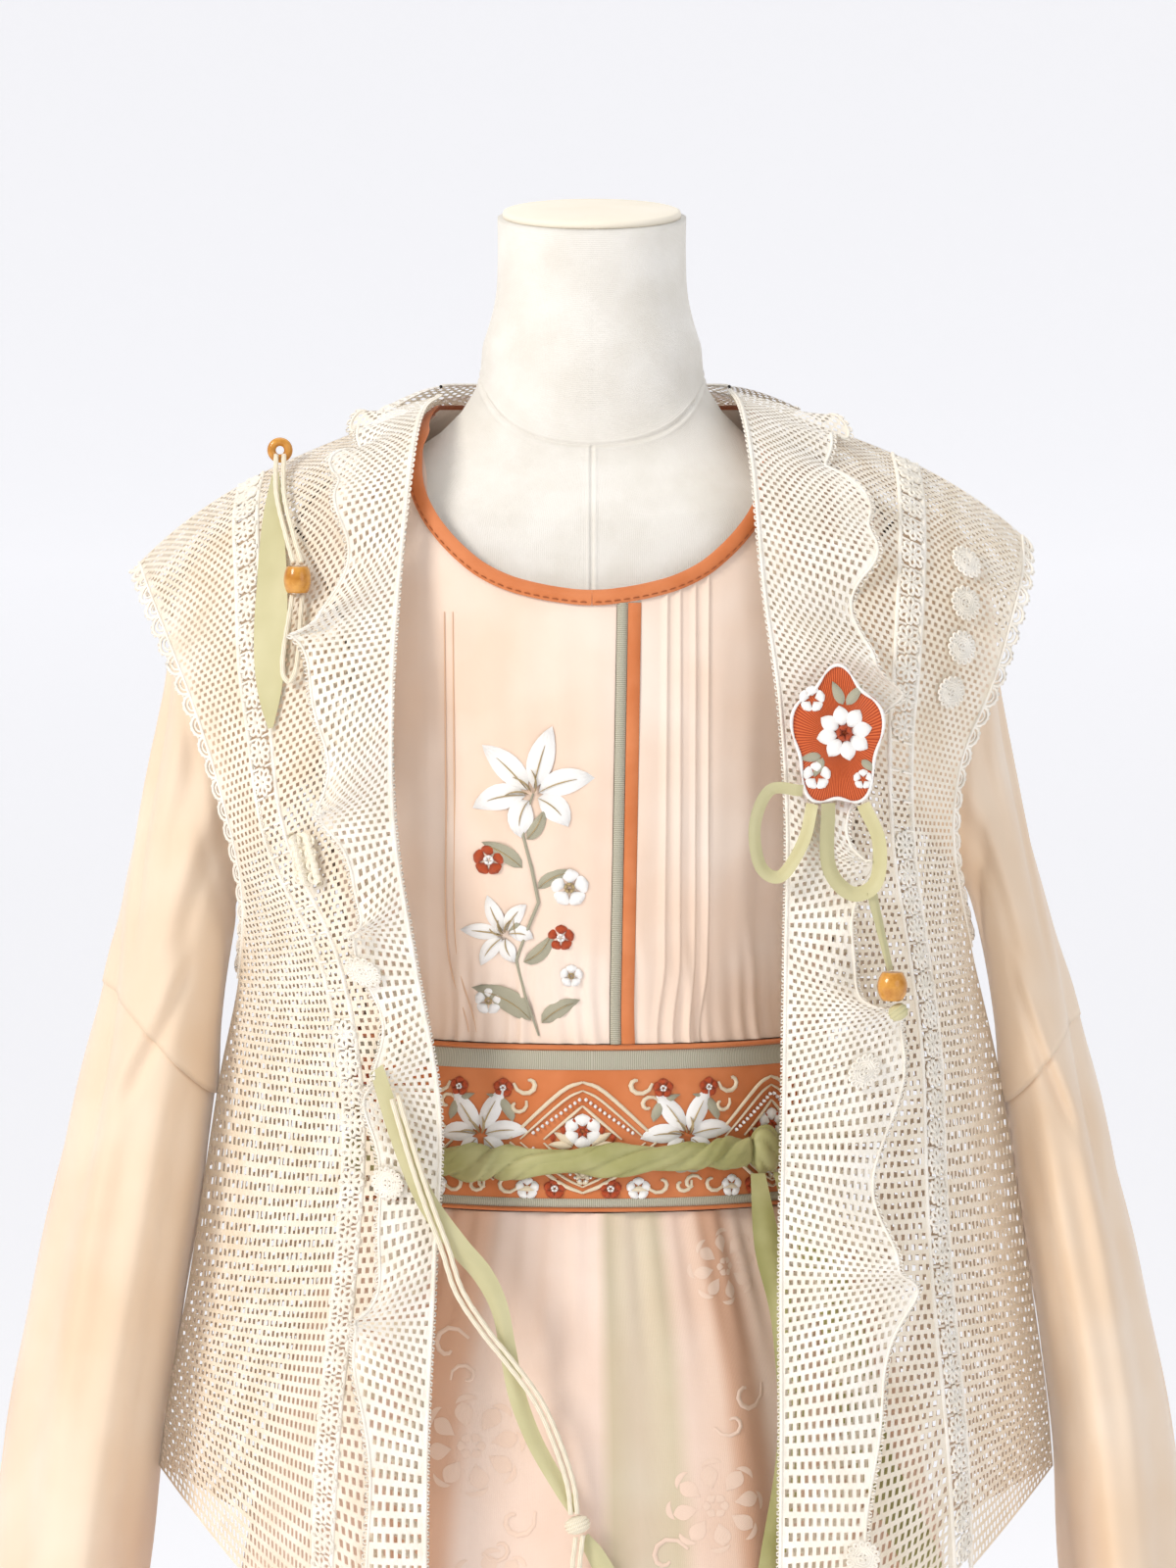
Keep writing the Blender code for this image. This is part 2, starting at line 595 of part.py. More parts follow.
def make_waistband():
    orange = material("orange silk", ORANGE, 0.5)
    sage = material("grey-green satin stitch", SAGE, 0.5)
    turn = np.arange(WAIST_SIDES) * 2 * math.pi / WAIST_SIDES
    band = [waist_ring(height, 0, turn) for height in (WAIST_TOP, WAIST_BOTTOM)]
    sheet("waistband", np.array(band), orange, WAIST_WALL, closed=True)
    clear = WAIST_WALL + SEAM
    bands = (
        ("waist_piping_top", WAIST_TOP - 0.0005, 0.0023, 0.0016, orange),
        ("waist_trim_top", WAIST_TOP - 0.0034, 0.0112, 0.0012, sage),
        ("waist_trim_low", WAIST_BOTTOM + 0.0078, 0.0050, 0.0012, sage),
        ("waist_piping_low", WAIST_BOTTOM + 0.0024, 0.0018, 0.0016, orange),
    )
    for name, top, tall, rise, look in bands:
        rows = [waist_ring(height, clear, turn) for height in (top, top - tall)]
        sheet(name, np.array(rows), look, rise, closed=True)


# Skirt

def skirt_ring(height, turn):
    order = SKIRT_RINGS[::-1]
    width, depth, fold = through(order[:, 0], order[:, 1:], np.full(len(turn), height)).T
    wave = np.cos(SKIRT_FOLDS * turn) + 0.35 * np.sin(7 * turn + 1.0)
    out = 1 + fold * wave / width
    flat = [width * out * np.sin(turn), -depth * out * np.cos(turn)]
    return np.stack([*flat, np.full(len(turn), height)], axis=-1)


def make_skirt():
    silk = material("pink chiffon", SKIRT_PINK, 0.6)
    step = 2 * math.pi / (SKIRT_FOLDS * 4)
    panels = (("front", -8, 8), ("side_l", 8, 20), ("back", 20, 36), ("side_r", 36, 48))
    for name, start, end in panels:
        turn = np.arange(start, end + 1) * step
        turn[0] += 0.0012
        turn[-1] -= 0.0012
        rows = [skirt_ring(height, turn) for height in SKIRT_RINGS[:, 0]]
        sheet("skirt_" + name, np.array(rows), silk)


# Sash

SASH_HEIGHT = 0.967
SASH_SLOPE = 0.005        # the sash climbs by this towards the wearer's left
SASH_HALF_TALL = 0.0095
SASH_HALF_DEEP = 0.0050
SASH_EASE = 0.0024        # from the waistband to the sash
KNOT_TURN = math.radians(44)


def sash_path(turn):
    height = SASH_HEIGHT + SASH_SLOPE * np.sin(turn)
    out = WAIST_WALL + SASH_EASE + SASH_HALF_DEEP
    width, depth = WAIST_HALF_WIDTH + out, WAIST_HALF_DEPTH + out
    return np.stack([width * np.sin(turn), -depth * np.cos(turn), height], axis=-1)


def make_sash():
    green = material("sage satin", SASH_GREEN, 0.4)
    clear = math.radians(6.5)
    turn = np.linspace(KNOT_TURN + clear, KNOT_TURN + 2 * math.pi - clear, 38)
    path = sash_path(turn)
    along = unit(np.gradient(path, axis=0))
    up = np.array([0, 0, 1.0])
    out = unit(np.cross(along, up))
    around = np.arange(6) * math.pi / 3
    rings = []
    for count in range(len(turn)):
        twist = count * 0.68
        tall = SASH_HALF_TALL * (0.86 + 0.14 * math.cos(2 * twist))
        deep = SASH_HALF_DEEP * (1 - 0.12 * math.cos(2 * twist))
        corner = around + twist * 0.5
        swing = np.outer(deep * np.cos(corner), out[count])
        rings.append(path[count] + swing + np.outer(tall * np.sin(corner), up))
    loft("sash_wrap", np.array(rings), green)
    make_sash_knot(green)
    make_sash_tails(green)


def make_sash_knot(green):
    middle = sash_path(np.array([KNOT_TURN]))[0] + (0.0006, -0.0012, 0)
    along = np.array([math.cos(KNOT_TURN), math.sin(KNOT_TURN), 0])
    out = np.array([math.sin(KNOT_TURN), -math.cos(KNOT_TURN), 0])
    around = np.arange(10) * math.pi / 5
    rings = []
    for share, size in ((-1, 0.55), (-0.6, 0.95), (-0.1, 1.0), (0.4, 0.9), (0.8, 0.75), (1, 0.5)):
        ring = middle + along * share * 0.0105
        rings.append(
            ring + np.outer(0.0075 * size * np.cos(around), out)
            + np.outer(0.0140 * size * np.sin(around), (0, 0, 1))
        )
    loft("sash_knot", np.array(rings), green)


def ribbon(name, path, widths, across, look, wall=0.0010):
    """A flat ribbon along a path, with its own widths and the directions across it."""
    path = np.asarray(path, float)
    half = np.asarray(widths)[:, None] / 2 * unit(np.asarray(across, float))
    return sheet(name, np.stack([path - half, path + half], axis=1), look, wall)


def make_sash_tails(green):
    inner_path = [
        (0.0980, -0.0910, 0.9545), (0.1040, -0.1060, 0.9150), (0.1140, -0.1160, 0.8700),
        (0.1170, -0.1250, 0.8000), (0.1040, -0.1350, 0.7150), (0.0980, -0.1460, 0.6300),
        (0.0970, -0.1540, 0.5600),
    ]
    outer_path = [
        (0.1140, -0.0800, 0.9560), (0.1330, -0.0980, 0.9080), (0.1500, -0.1120, 0.8600),
        (0.1650, -0.1180, 0.7950), (0.1950, -0.1100, 0.7250), (0.2080, -0.1090, 0.6400),
        (0.2120, -0.1120, 0.5600),
    ]
    for name, path, width in (("sash_tail_inner", inner_path, 0.016), ("sash_tail_outer", outer_path, 0.026)):
        shares = np.linspace(0, 1, len(path))
        fine = np.linspace(0, 1, 11)
        places = through(shares, np.array(path), fine)
        across = [(1, 0.10 if width < 0.02 else 0.25, 0.0)] * len(fine)
        widths = width * np.clip(0.55 + fine * 2, 0, 1)
        ribbon(name, places, widths, across, green)


# Crochet vest

def vest_rows(table, shares):
    """Fold edge and outer edge of a front, at shares of the way down."""
    knots = np.linspace(0, 1, len(table))
    rows = through(knots, table, shares)
    return rows[..., :3], rows[..., 3:]


def vest_point(table, across, shares):
    """A point of a front: across 0 at the fold edge and 1 at the outer edge, back at the side."""
    fold, outer = vest_rows(table, shares)
    across = np.asarray(across, float)[..., None]
    blend = fold + (outer - fold) * across
    rounding = across[..., 0] ** 2.6
    blend[..., 1] = fold[..., 1] + (outer[..., 1] - fold[..., 1]) * rounding
    blend[..., 2] -= shoulder_drop(across[..., 0], shares) * (outer[..., 2] - fold[..., 2])
    return blend


def shoulder_drop(across, shares):
    """How much of the shoulder's fall is held back until near its tip."""
    return 0.30 * (across - across ** 4) * np.clip(1 - shares / 0.22, 0, 1)


def daisy_middle(path, shares):
    knots, places = np.array(path).T
    return through(knots, places, shares)


def width_at(table, shares):
    fold, outer = vest_rows(table, shares)
    return np.linalg.norm(outer - fold, axis=-1) * 1.03


def vest_grid(table, path, part):
    """Grid of the part of a front inside or outside its daisy band."""
    shares = VEST_ROWS
    rows = len(shares)
    half = (DAISY_WIDTH / 2 + 2 * SEAM) / width_at(table, shares)
    middle = daisy_middle(path, shares)
    if part == "inner":
        first, last, columns = 0 * shares, middle - half, 4
    else:
        first, last, columns = middle + half, 1 + 0 * shares, 4
    share = np.linspace(0, 1, columns)
    across = first[:, None] + (last - first)[:, None] * share
    return vest_point(table, across, np.tile(shares[:, None], (1, columns)))


def down_length(table, path):
    """Length of the daisy band and the share of the way down at each length along it."""
    shares = np.linspace(0, 1, 200)
    places = vest_point(table, daisy_middle(path, shares), shares)
    steps = np.linalg.norm(np.diff(places, axis=0), axis=-1)
    return np.insert(np.cumsum(steps), 0, 0), shares


def daisy_band(name, table, path, plain, look):
    """A band of daisies, with a gap at each side of the thread between two of them."""
    lengths, shares = down_length(table, path)
    count = int(lengths[-1] / DAISY_PITCH)
    lead = (lengths[-1] - count * DAISY_PITCH) / 2
    cuts, kinds = [0.0], []
    for number in range(count):
        start = lead + number * DAISY_PITCH
        share = np.interp(start + DAISY_PITCH / 2, lengths, shares)
        if not plain[0] < share < plain[1]:
            cuts += [start + DAISY_BAR, start + DAISY_PITCH]
            kinds += ["bar", "post"]
        else:
            rows = np.interp(VEST_ROWS, shares, lengths)
            rows = rows[(rows > cuts[-1]) & (rows < start + DAISY_PITCH)]
            cuts += rows.tolist()
            kinds += ["bar"] * len(rows)
    cuts.append(lengths[-1])
    kinds.append("bar")
    heights = np.interp(cuts, lengths, shares)
    half = DAISY_WIDTH / 2 / width_at(table, VEST_ROWS)
    middle = daisy_middle(path, VEST_ROWS)
    edges = [vest_point(table, middle + sign * half, VEST_ROWS) for sign in (-1, 1)]
    near, far = (
        np.stack([np.interp(heights, VEST_ROWS, edge[:, k]) for k in range(3)], axis=-1)
        for edge in edges
    )
    post = DAISY_POST / DAISY_WIDTH / 2
    points = np.stack([near + (far - near) * share for share in (0, 0.5 - post, 0.5 + post, 1)], axis=1)
    holes = [(i, j) for i, kind in enumerate(kinds) if kind == "post" for j in (0, 2)]
    sheet(name, points, look, LACE_WALL, holes=holes)
    return len(holes)


def back_point(across, shares):
    """A point of the vest's back: across runs from -1 at the wearer's right side to 1 at the left."""
    places = []
    for table in (VEST_FRONT_R, VEST_FRONT_L):
        fold, outer = vest_rows(table, shares)
        seam_y = table[0, 1]
        fold[..., 1] = seam_y + 0.85 * (seam_y - fold[..., 1]) + 2 * SEAM
        foot = np.clip((shares - 0.54) / 0.06, 0, 1)
        outer[..., 1] = np.abs(outer[..., 1]) * (1 - 2 * foot) + 2 * SEAM
        beyond = np.clip((np.abs(across) - BACK_FOLD) / (1 - BACK_FOLD), 0, 1)[..., None]
        place = fold + (outer - fold) * beyond
        place[..., 1] = fold[..., 1] + (outer[..., 1] - fold[..., 1]) * beyond[..., 0] ** 2.6
        drop = shoulder_drop(beyond[..., 0], shares)
        place[..., 2] -= drop * (outer[..., 2] - fold[..., 2])
        turn = np.clip(np.abs(across) / BACK_FOLD, 0, 1) * math.pi / 2
        bulge = np.interp(shares, *np.array(VEST_BACK_BULGE).T)
        place[..., 0] *= np.where(turn < math.pi / 2, np.sin(turn), 1)
        place[..., 1] += bulge * np.cos(turn)
        places.append(place)
    share_l = np.clip(across / 0.08 + 0.5, 0, 1)[..., None]
    return places[0] * (1 - share_l) + places[1] * share_l


def make_vest_back(lace):
    across = np.array([-1, -0.82, -0.58, -0.33, -0.17, 0, 0.17, 0.33, 0.58, 0.82, 1])
    rows = len(VEST_ROWS)
    grid = back_point(np.tile(across, (rows, 1)), np.tile(VEST_ROWS[:, None], (1, len(across))))
    sheet("vest_back", grid, lace, LACE_WALL)


def armhole_edge(table):
    """The armhole's edge from its foot up the front to the shoulder, then down the back, and the way out."""
    shares = VEST_ROWS[VEST_ROWS <= ARMHOLE_FOOT / (len(table) - 1) + 0.001][::-1]
    front = vest_point(table, np.ones(len(shares)), shares)
    inner = vest_point(table, np.full(len(shares), 0.94), shares)
    back = front * (1, -1, 1) + (0, 2 * SEAM, 0)
    inner_back = inner * (1, -1, 1)
    back[0] = front[0] + (0, 3 * SEAM, 0)
    edge = np.concatenate([front, back[::-1]])
    out = unit(np.concatenate([front - inner, (back - inner_back)[::-1]]))
    return edge, out


def scallops(name, table, look):
    """Scalloped edging round an armhole: a rail, then arches over round gaps."""
    edge, out = armhole_edge(table)
    edge = edge + out * (SEAM * 1.5)
    lengths = np.insert(np.cumsum(np.linalg.norm(np.diff(edge, axis=0), axis=-1)), 0, 0)
    lead = 0.005
    count = int((lengths[-1] - 2 * lead) / SCALLOP_PITCH)
    pitch = (lengths[-1] - 2 * lead) / count
    rail, shoulder = 0.0016, SCALLOP_REACH * 0.78
    mesh_points, faces = [], []

    def place(length, reach):
        foot = np.array([np.interp(length, lengths, edge[:, k]) for k in range(3)])
        way = unit(np.array([np.interp(length, lengths, out[:, k]) for k in range(3)]))
        mesh_points.append(foot + way * reach)
        return len(mesh_points) - 1

    low, high = place(lead, 0), place(lead, rail * 2)
    for number in range(count):
        start = lead + number * pitch
        first, last = place(start + pitch * 0.18, rail), place(start + pitch * 0.82, rail)
        hole_top = place(start + pitch * 0.50, shoulder)
        top_first = place(start + pitch * 0.22, SCALLOP_REACH)
        top_last = place(start + pitch * 0.78, SCALLOP_REACH)
        next_low, next_high = place(start + pitch, 0), place(start + pitch, rail * 2)
        faces += [
            (low, next_low, next_high, last, first, high),
            (high, first, hole_top, top_first),
            (hole_top, top_last, top_first),
            (hole_top, last, next_high, top_last),
        ]
        low, high = next_low, next_high
    mesh = bpy.data.meshes.new(name)
    side = -1 if edge[0, 0] < 0 else 1
    mesh.from_pydata([tuple(point) for point in mesh_points], [], [face[::side] for face in faces])
    thicken(add(bpy.data.objects.new(name, mesh), look), LACE_WALL)
    return count


def ruffle_grid(table, widths, waves, side, rows, columns):
    """A waterfall ruffle: it leaves the fold edge, lies back over the front and waves along its free edge."""
    shares = np.linspace(0, 1, rows)
    width, stand, sag = through(widths[:, 0], widths[:, 1:], shares).T
    fold = vest_point(table, np.zeros(rows), shares)
    near = vest_point(table, np.full(rows, 0.30), shares)
    down = unit(np.gradient(fold, axis=0))
    across = unit(near - fold)
    front = unit(np.cross(across, down)) * -side
    phase = 2 * math.pi * waves * (shares + 0.018 * np.sin(11 * shares) + 0.01 * np.sin(23 * shares))
    grid = []
    for reach in np.linspace(0, 1, columns):
        lift = RUFFLE_BASE + stand * reach ** 1.3 * (0.55 + 0.45 * np.sin(phase))
        slide = sag * reach * np.cos(phase)
        spread = width * reach * (1 + 0.13 * np.sin(phase - 0.9))
        on_panel = vest_point(table, np.clip(spread / width_at(table, shares), 0, 1), shares)
        grid.append(on_panel + front * lift[:, None] + down * slide[:, None])
    return np.array(grid).transpose(1, 0, 2)


def make_vest():
    lace = material("cream crochet", LACE, 0.85)
    gaps = 0
    fronts = (
        ("r", VEST_FRONT_R, DAISY_PATH_R, PLAIN_STRETCH_R),
        ("l", VEST_FRONT_L, DAISY_PATH_L, PLAIN_STRETCH_L),
    )
    for name, table, path, plain in fronts:
        for part in ("inner", "outer"):
            sheet("vest_front_" + name + "_" + part, vest_grid(table, path, part), lace, LACE_WALL)
        gaps += daisy_band("vest_daisies_" + name, table, path, plain, lace)
        gaps += scallops("vest_scallops_" + name, table, lace)
    make_vest_back(lace)
    ruffle_r = ruffle_grid(VEST_FRONT_R, RUFFLE_R, RUFFLE_WAVES_R, -1, 39, 4)
    ruffle_l = ruffle_grid(VEST_FRONT_L, RUFFLE_L, RUFFLE_WAVES_L, 1, 35, 4)
    sheet("vest_ruffle_r", ruffle_r, lace, LACE_WALL)
    sheet("vest_ruffle_l", ruffle_l, lace, LACE_WALL)
    make_collar(lace)
    print("gaps cut through in the lace:", gaps)
    return ruffle_r, ruffle_l


def make_collar(lace):
    """The ruffle's stretch round the back of the neck, between the two shoulder seams."""
    turn = np.linspace(-math.pi / 2, math.pi / 2, 17)
    edge_r, edge_l = VEST_FRONT_R[0], VEST_FRONT_L[0]
    half = np.where(turn < 0, abs(edge_r[0]), abs(edge_l[0]))
    rows = []
    for reach in np.linspace(0, 1, 4):
        wave = 0.5 + 0.5 * np.sin(turn * 9)
        out = reach * (0.040 + 0.004 * wave)
        x = (half + out * np.abs(np.sin(turn)) * 0.9) * np.sin(turn)
        y = edge_r[1] + 3 * SEAM + (0.088 + out * 0.75) * np.cos(turn)
        z = edge_r[2] + 0.0071 - 0.004 * np.cos(turn) ** 2 - reach ** 1.4 * 0.018 + reach * 0.006 * wave
        rows.append(np.stack([x, y, z], axis=-1))
    sheet("vest_collar", np.array(rows), lace, LACE_WALL)


# Strap and brooch

# The leaf's middle as seen from the front, and its width
LEAF = np.array([
    (-0.1860, 1.364, 0.0040), (-0.1868, 1.342, 0.0120), (-0.1868, 1.316, 0.0165),
    (-0.1870, 1.290, 0.0195), (-0.1872, 1.264, 0.0185), (-0.1866, 1.242, 0.0140), (-0.1862, 1.222, 0.0030),
])
BARREL = (-0.1690, 1.3050)
MACRAME = (-0.1640, 1.1470)
# The tape's middle and its width, from under the ruffle to the knot
TAPE = np.array([
    (-0.1260, -0.1531, 1.0260, 0.0090), (-0.1135, -0.1570, 0.9880, 0.0110),
    (-0.0980, -0.1580, 0.9510, 0.0120), (-0.0795, -0.1575, 0.9240, 0.0125),
    (-0.0637, -0.1560, 0.9050, 0.0120), (-0.0540, -0.1545, 0.8850, 0.0110),
    (-0.0492, -0.1530, 0.8600, 0.0110), (-0.0440, -0.1520, 0.8340, 0.0110),
    (-0.0335, -0.1515, 0.8060, 0.0100), (-0.0185, -0.1510, 0.7790, 0.0090),
    (-0.0100, -0.1535, 0.7650, 0.0070),
])
TAPE_END = np.array([
    (-0.0050, -0.1540, 0.7500, 0.0070), (0.0030, -0.1545, 0.7380, 0.0110),
    (0.0130, -0.1555, 0.7180, 0.0120), (0.0200, -0.1570, 0.6900, 0.0120), (0.0240, -0.1590, 0.6600, 0.0110),
])
CORD_ROUTE = (
    (-0.1170, -0.1603, 1.0090), (-0.1070, -0.1618, 0.9750), (-0.0970, -0.1628, 0.9450),
    (-0.0877, -0.1623, 0.9200), (-0.0795, -0.1613, 0.8950), (-0.0640, -0.1598, 0.8710),
    (-0.0497, -0.1588, 0.8530), (-0.0333, -0.1573, 0.8300), (-0.0222, -0.1563, 0.8050),
    (-0.0145, -0.1553, 0.7810), (-0.0124, -0.1572, 0.7635),
)
CORD_END = (
    (-0.0095, -0.1570, 0.7505), (-0.0115, -0.1595, 0.7300),
    (-0.0100, -0.1605, 0.7050), (-0.0090, -0.1620, 0.6700),
)
CORD_STEP = 0.0042        # from one cord of the pair to the other
STRAP_KNOT = (-0.0085, -0.1560, 0.7575)
BROOCH = (0.1435, 1.2190)
BROOCH_HALF = (0.0290, 0.0440)


def on_vest(table, x, height, out):
    """A place a little out from a front, found from where it is seen, and the way across there."""
    across = np.array(0.5)
    share = np.array((table[0, 2] - height) / (table[0, 2] - table[-1, 2]))
    for _ in range(60):
        place = vest_point(table, across, share)
        across = np.clip(across + (x - place[0]) / (table[4, 3] - table[4, 0]) * 0.7, 0.01, 0.98)
        share = np.clip(share + (place[2] - height) * 0.7, 0.01, 0.98)
    along = unit(vest_point(table, across + 0.02, share) - place)
    down = unit(vest_point(table, across, share + 0.01) - place)
    face = unit(np.cross(along, down))
    face *= -np.sign(face[1])
    return place + face * (LACE_WALL + out), along


def front_of(grid, x, height, reach):
    """The foremost depth of a ruffle near a place seen from the front."""
    near = (np.abs(grid[..., 0] - x) < reach) & (np.abs(grid[..., 2] - height) < reach)
    return grid[near][:, 1].min() - LACE_WALL


def blob(name, middle, half, along, look, sides=8):
    """A rounded lump, such as a knot, drawn out along one direction."""
    along = np.array(along, float) / np.linalg.norm(along)
    side = unit(np.cross(along, (0, 1, 0)))
    rings = []
    for share, size in ((-1, 0.5), (-0.5, 0.95), (0.5, 0.95), (1, 0.5)):
        turn = np.arange(sides) * 2 * math.pi / sides
        ring = np.array(middle) + along * share * half[2]
        ring = ring + np.outer(half[0] * size * np.cos(turn), side)
        rings.append(ring + np.outer(half[1] * size * np.sin(turn), (0, 1, 0)))
    return loft(name, np.array(rings), look)


def make_strap():
    green = material("pale green satin", STRAP_GREEN, 0.4)
    cream = material("cream cord", CORD_CREAM, 0.8)
    wood = material("varnished wood", WOOD, 0.25)
    table = VEST_FRONT_R
    leaf = through(np.linspace(0, 1, len(LEAF)), LEAF, np.linspace(0, 1, 9))
    path, across = np.array([on_vest(table, x, height, 0.0022) for x, height, _ in leaf]).transpose(1, 0, 2)
    ribbon("strap_leaf", path, leaf[:, 2], across, green)
    ring_place = on_vest(table, -0.1830, 1.3680, 0.0040)[0] + (0, 0, 0.0080)
    ring = [(0.0024, 0.0026), (0.0058, 0.0028), (0.0076, 0), (0.0058, -0.0028), (0.0024, -0.0026)]
    turned("strap_ring_bead", ring, Vector(ring_place), Matrix.Rotation(math.pi / 2, 4, "X"), wood, 12)
    barrel_place = on_vest(table, *BARREL, 0.0095)[0]
    barrel = [
        (0, 0.0078), (0.0055, 0.0078), (0.0078, 0.0032),
        (0.0078, -0.0032), (0.0055, -0.0078), (0, -0.0078),
    ]
    turned("strap_barrel_bead", barrel, Vector(barrel_place), Matrix.Identity(4), wood, 12)
    for name, step in (("a", -0.0022), ("b", 0.0024)):
        knots = [ring_place + (step, -0.0041, -0.0030)]
        for x, height in ((-0.181, 1.352), (-0.175, 1.330)):
            knots.append(on_vest(table, x + step, height, 0.0060)[0])
        knots.append(barrel_place + (step, 0, 0.0096))
        top_cord = through([0, 0.34, 0.67, 1], np.array(knots), np.linspace(0, 1, 6))
        tube("strap_cord_top_" + name, top_cord, CORD, cream)
    low = on_vest(table, -0.1745, 1.2480, 0.0060)[0]
    ends = [barrel_place + (step, 0, -0.0089) for step in (-0.0030, 0.0030)]
    bend = [ends[0], low + (-0.0026, 0, 0.0030), low, low + (0.0026, 0, 0.0030), ends[1]]
    loop = through([0, 0.42, 0.5, 0.58, 1], np.array(bend), np.linspace(0, 1, 11))
    tube("strap_loop", loop, CORD, cream)
    macrame = on_vest(table, *MACRAME, 0.0052)[0]
    blob("strap_macrame", macrame, (0.0075, 0.0045, 0.0150), (0.25, 0, -1), cream)
    lay_tape(green, cream)


def lay_tape(green, cream):
    """The long tape and its two cords, from under the ruffle to the knot and the free ends."""
    for name, table, count in (("strap_tape", TAPE, 14), ("strap_tape_end", TAPE_END, 6)):
        places = through(np.linspace(0, 1, len(table)), table, np.linspace(0, 1, count))
        ribbon(name, places[:, :3], places[:, 3], [(0.8, 0.0, 0.6)] * count, green)
    for name, step in (("a", 0.0), ("b", CORD_STEP)):
        route = through(np.linspace(0, 1, len(CORD_ROUTE)), CORD_ROUTE, np.linspace(0, 1, 12))
        route[:, 0] += step * 0.9
        route[:, 2] += step * np.linspace(0.5, 0.1, 12)
        tube("strap_cord_" + name, route, CORD, cream)
        end = through(np.linspace(0, 1, len(CORD_END)), CORD_END, np.linspace(0, 1, 6))
        tube("strap_end_" + name, end + (step, 0, step * 0.28), CORD, cream)
    blob("strap_knot", STRAP_KNOT, (0.0078, 0.0055, 0.0055), (0.3, 0, -1), cream)


def outline_plate(name, middle, radius, look, rise, scale=1.0):
    """A flat piece with a wavy round outline, standing upright and facing the front."""
    curve = bpy.data.curves.new(name, "CURVE")
    curve.dimensions = "2D"
    curve.fill_mode = "BOTH"
    curve.extrude = rise / 2
    turn = np.arange(len(radius)) * 2 * math.pi / len(radius)
    spline = curve.splines.new("POLY")
    spline.points.add(len(radius) - 1)
    for point, reach, angle in zip(spline.points, radius, turn):
        point.co = (reach * math.cos(angle), reach * math.sin(angle) * scale, 0, 1)
    spline.use_cyclic_u = True
    obj = add(bpy.data.objects.new(name, curve), look)
    obj.matrix_world = Matrix.Translation(middle) @ Matrix.Rotation(math.pi / 2, 4, "X")
    return obj


def side_ribbon(name, shape, widths, depth, across, look, count):
    """A ribbon of the brooch: its path is given from the patch's middle, as seen from the front."""
    share = np.linspace(0, 1, count)
    shape = through(np.linspace(0, 1, len(shape)), shape, share)
    depths = depth[0] + (depth[1] - depth[0]) * np.sin(math.pi * share) ** 0.5
    path = np.stack([BROOCH[0] + shape[:, 0], depths, BROOCH[1] + shape[:, 1]], axis=-1)
    ribbon(name, path, np.linspace(*widths, count), [across] * count, look, 0.0008)


def make_brooch(ruffle):
    rust = material("rust stitched felt", RUST, 0.6)
    white = material("white thread", WHITE, 0.6)
    green = material("pale green satin", STRAP_GREEN, 0.4)
    wood = material("varnished wood", WOOD, 0.25)
    x, height = BROOCH
    half_thick = 0.0012
    front = front_of(ruffle, x, height, 0.055) - SEAM
    turn = np.arange(30) * 2 * math.pi / 30
    lobes = BROOCH_HALF[0] * (1 + 0.10 * np.cos(5 * (turn - math.pi / 2))) / 1.10
    tall = BROOCH_HALF[1] / BROOCH_HALF[0]
    outline_plate("brooch_patch", Vector((x, front - half_thick, height)), lobes, rust, 2 * half_thick, tall)
    turn = np.arange(12) * 2 * math.pi / 12
    petals = 0.0150 * (1 + 0.30 * np.cos(6 * turn)) / 1.30
    flower = Vector((x + 0.004, front - 3 * half_thick - SEAM, height + 0.003))
    outline_plate("brooch_flower", flower, petals, white, 2 * half_thick, 1.2)
    side = [
        (-0.0202, -0.0307), (-0.0390, -0.0300), (-0.0480, -0.0500), (-0.0450, -0.0740),
        (-0.0330, -0.0800), (-0.0200, -0.0600), (-0.0147, -0.0384),
    ]
    under = [
        (-0.0054, -0.0379), (-0.0050, -0.0740), (0.0080, -0.0900),
        (0.0220, -0.0840), (0.0240, -0.0600), (0.0149, -0.0384),
    ]
    edgewise = (0, 1, 0)
    beside = min(front, front_of(ruffle, x - 0.030, height - 0.055, 0.032))
    below = min(front, front_of(ruffle, x + 0.008, height - 0.070, 0.032))
    depths = (front - 0.0034, beside - 0.0036)
    side_ribbon("brooch_loop_side", side, (0.0060, 0.0060), depths, edgewise, green, 11)
    depths = (front - 0.0046, below - 0.0048)
    side_ribbon("brooch_loop_under", under, (0.0085, 0.0085), depths, edgewise, green, 11)
    hang = below - 0.0048
    tail = [(0.0200, -0.0893), (0.0250, -0.1100), (0.0310, -0.1355)]
    side_ribbon("brooch_tail", tail, (0.0064, 0.0040), (hang, hang), (1, 0, 0.2), green, 5)
    bead = [
        (0, 0.0080), (0.0055, 0.0080), (0.0088, 0.0030),
        (0.0088, -0.0030), (0.0055, -0.0080), (0, -0.0080),
    ]
    bead_place = Vector((x + 0.0320, hang - 0.0030, height - 0.1445))
    turned("brooch_bead", bead, bead_place, Matrix.Identity(4), wood, 12)
    knot_place = (x + 0.0355, hang - 0.0030, height - 0.1596)
    blob("brooch_knot", knot_place, (0.0060, 0.0042, 0.0050), (0.5, 0, -1), green)


HANFU = collection_of("Hanfu skirt set on a dress form")
clear_scene()
make_form()
make_bodice()
make_sleeves()
make_waistband()
make_skirt()
make_sash()
ruffles = make_vest()
make_strap()
make_brooch(ruffles[1])
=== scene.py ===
# %% [markdown]
# # A hanfu skirt set on a dress form
# The model is a silk bodice and skirt with an embroidered waistband, worn under a crochet vest on a linen
# dress form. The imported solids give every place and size. Each cell below makes one piece of cloth as a
# surface worked out with numpy from two parameters, and then gives it a material built from nodes.

import json
import math

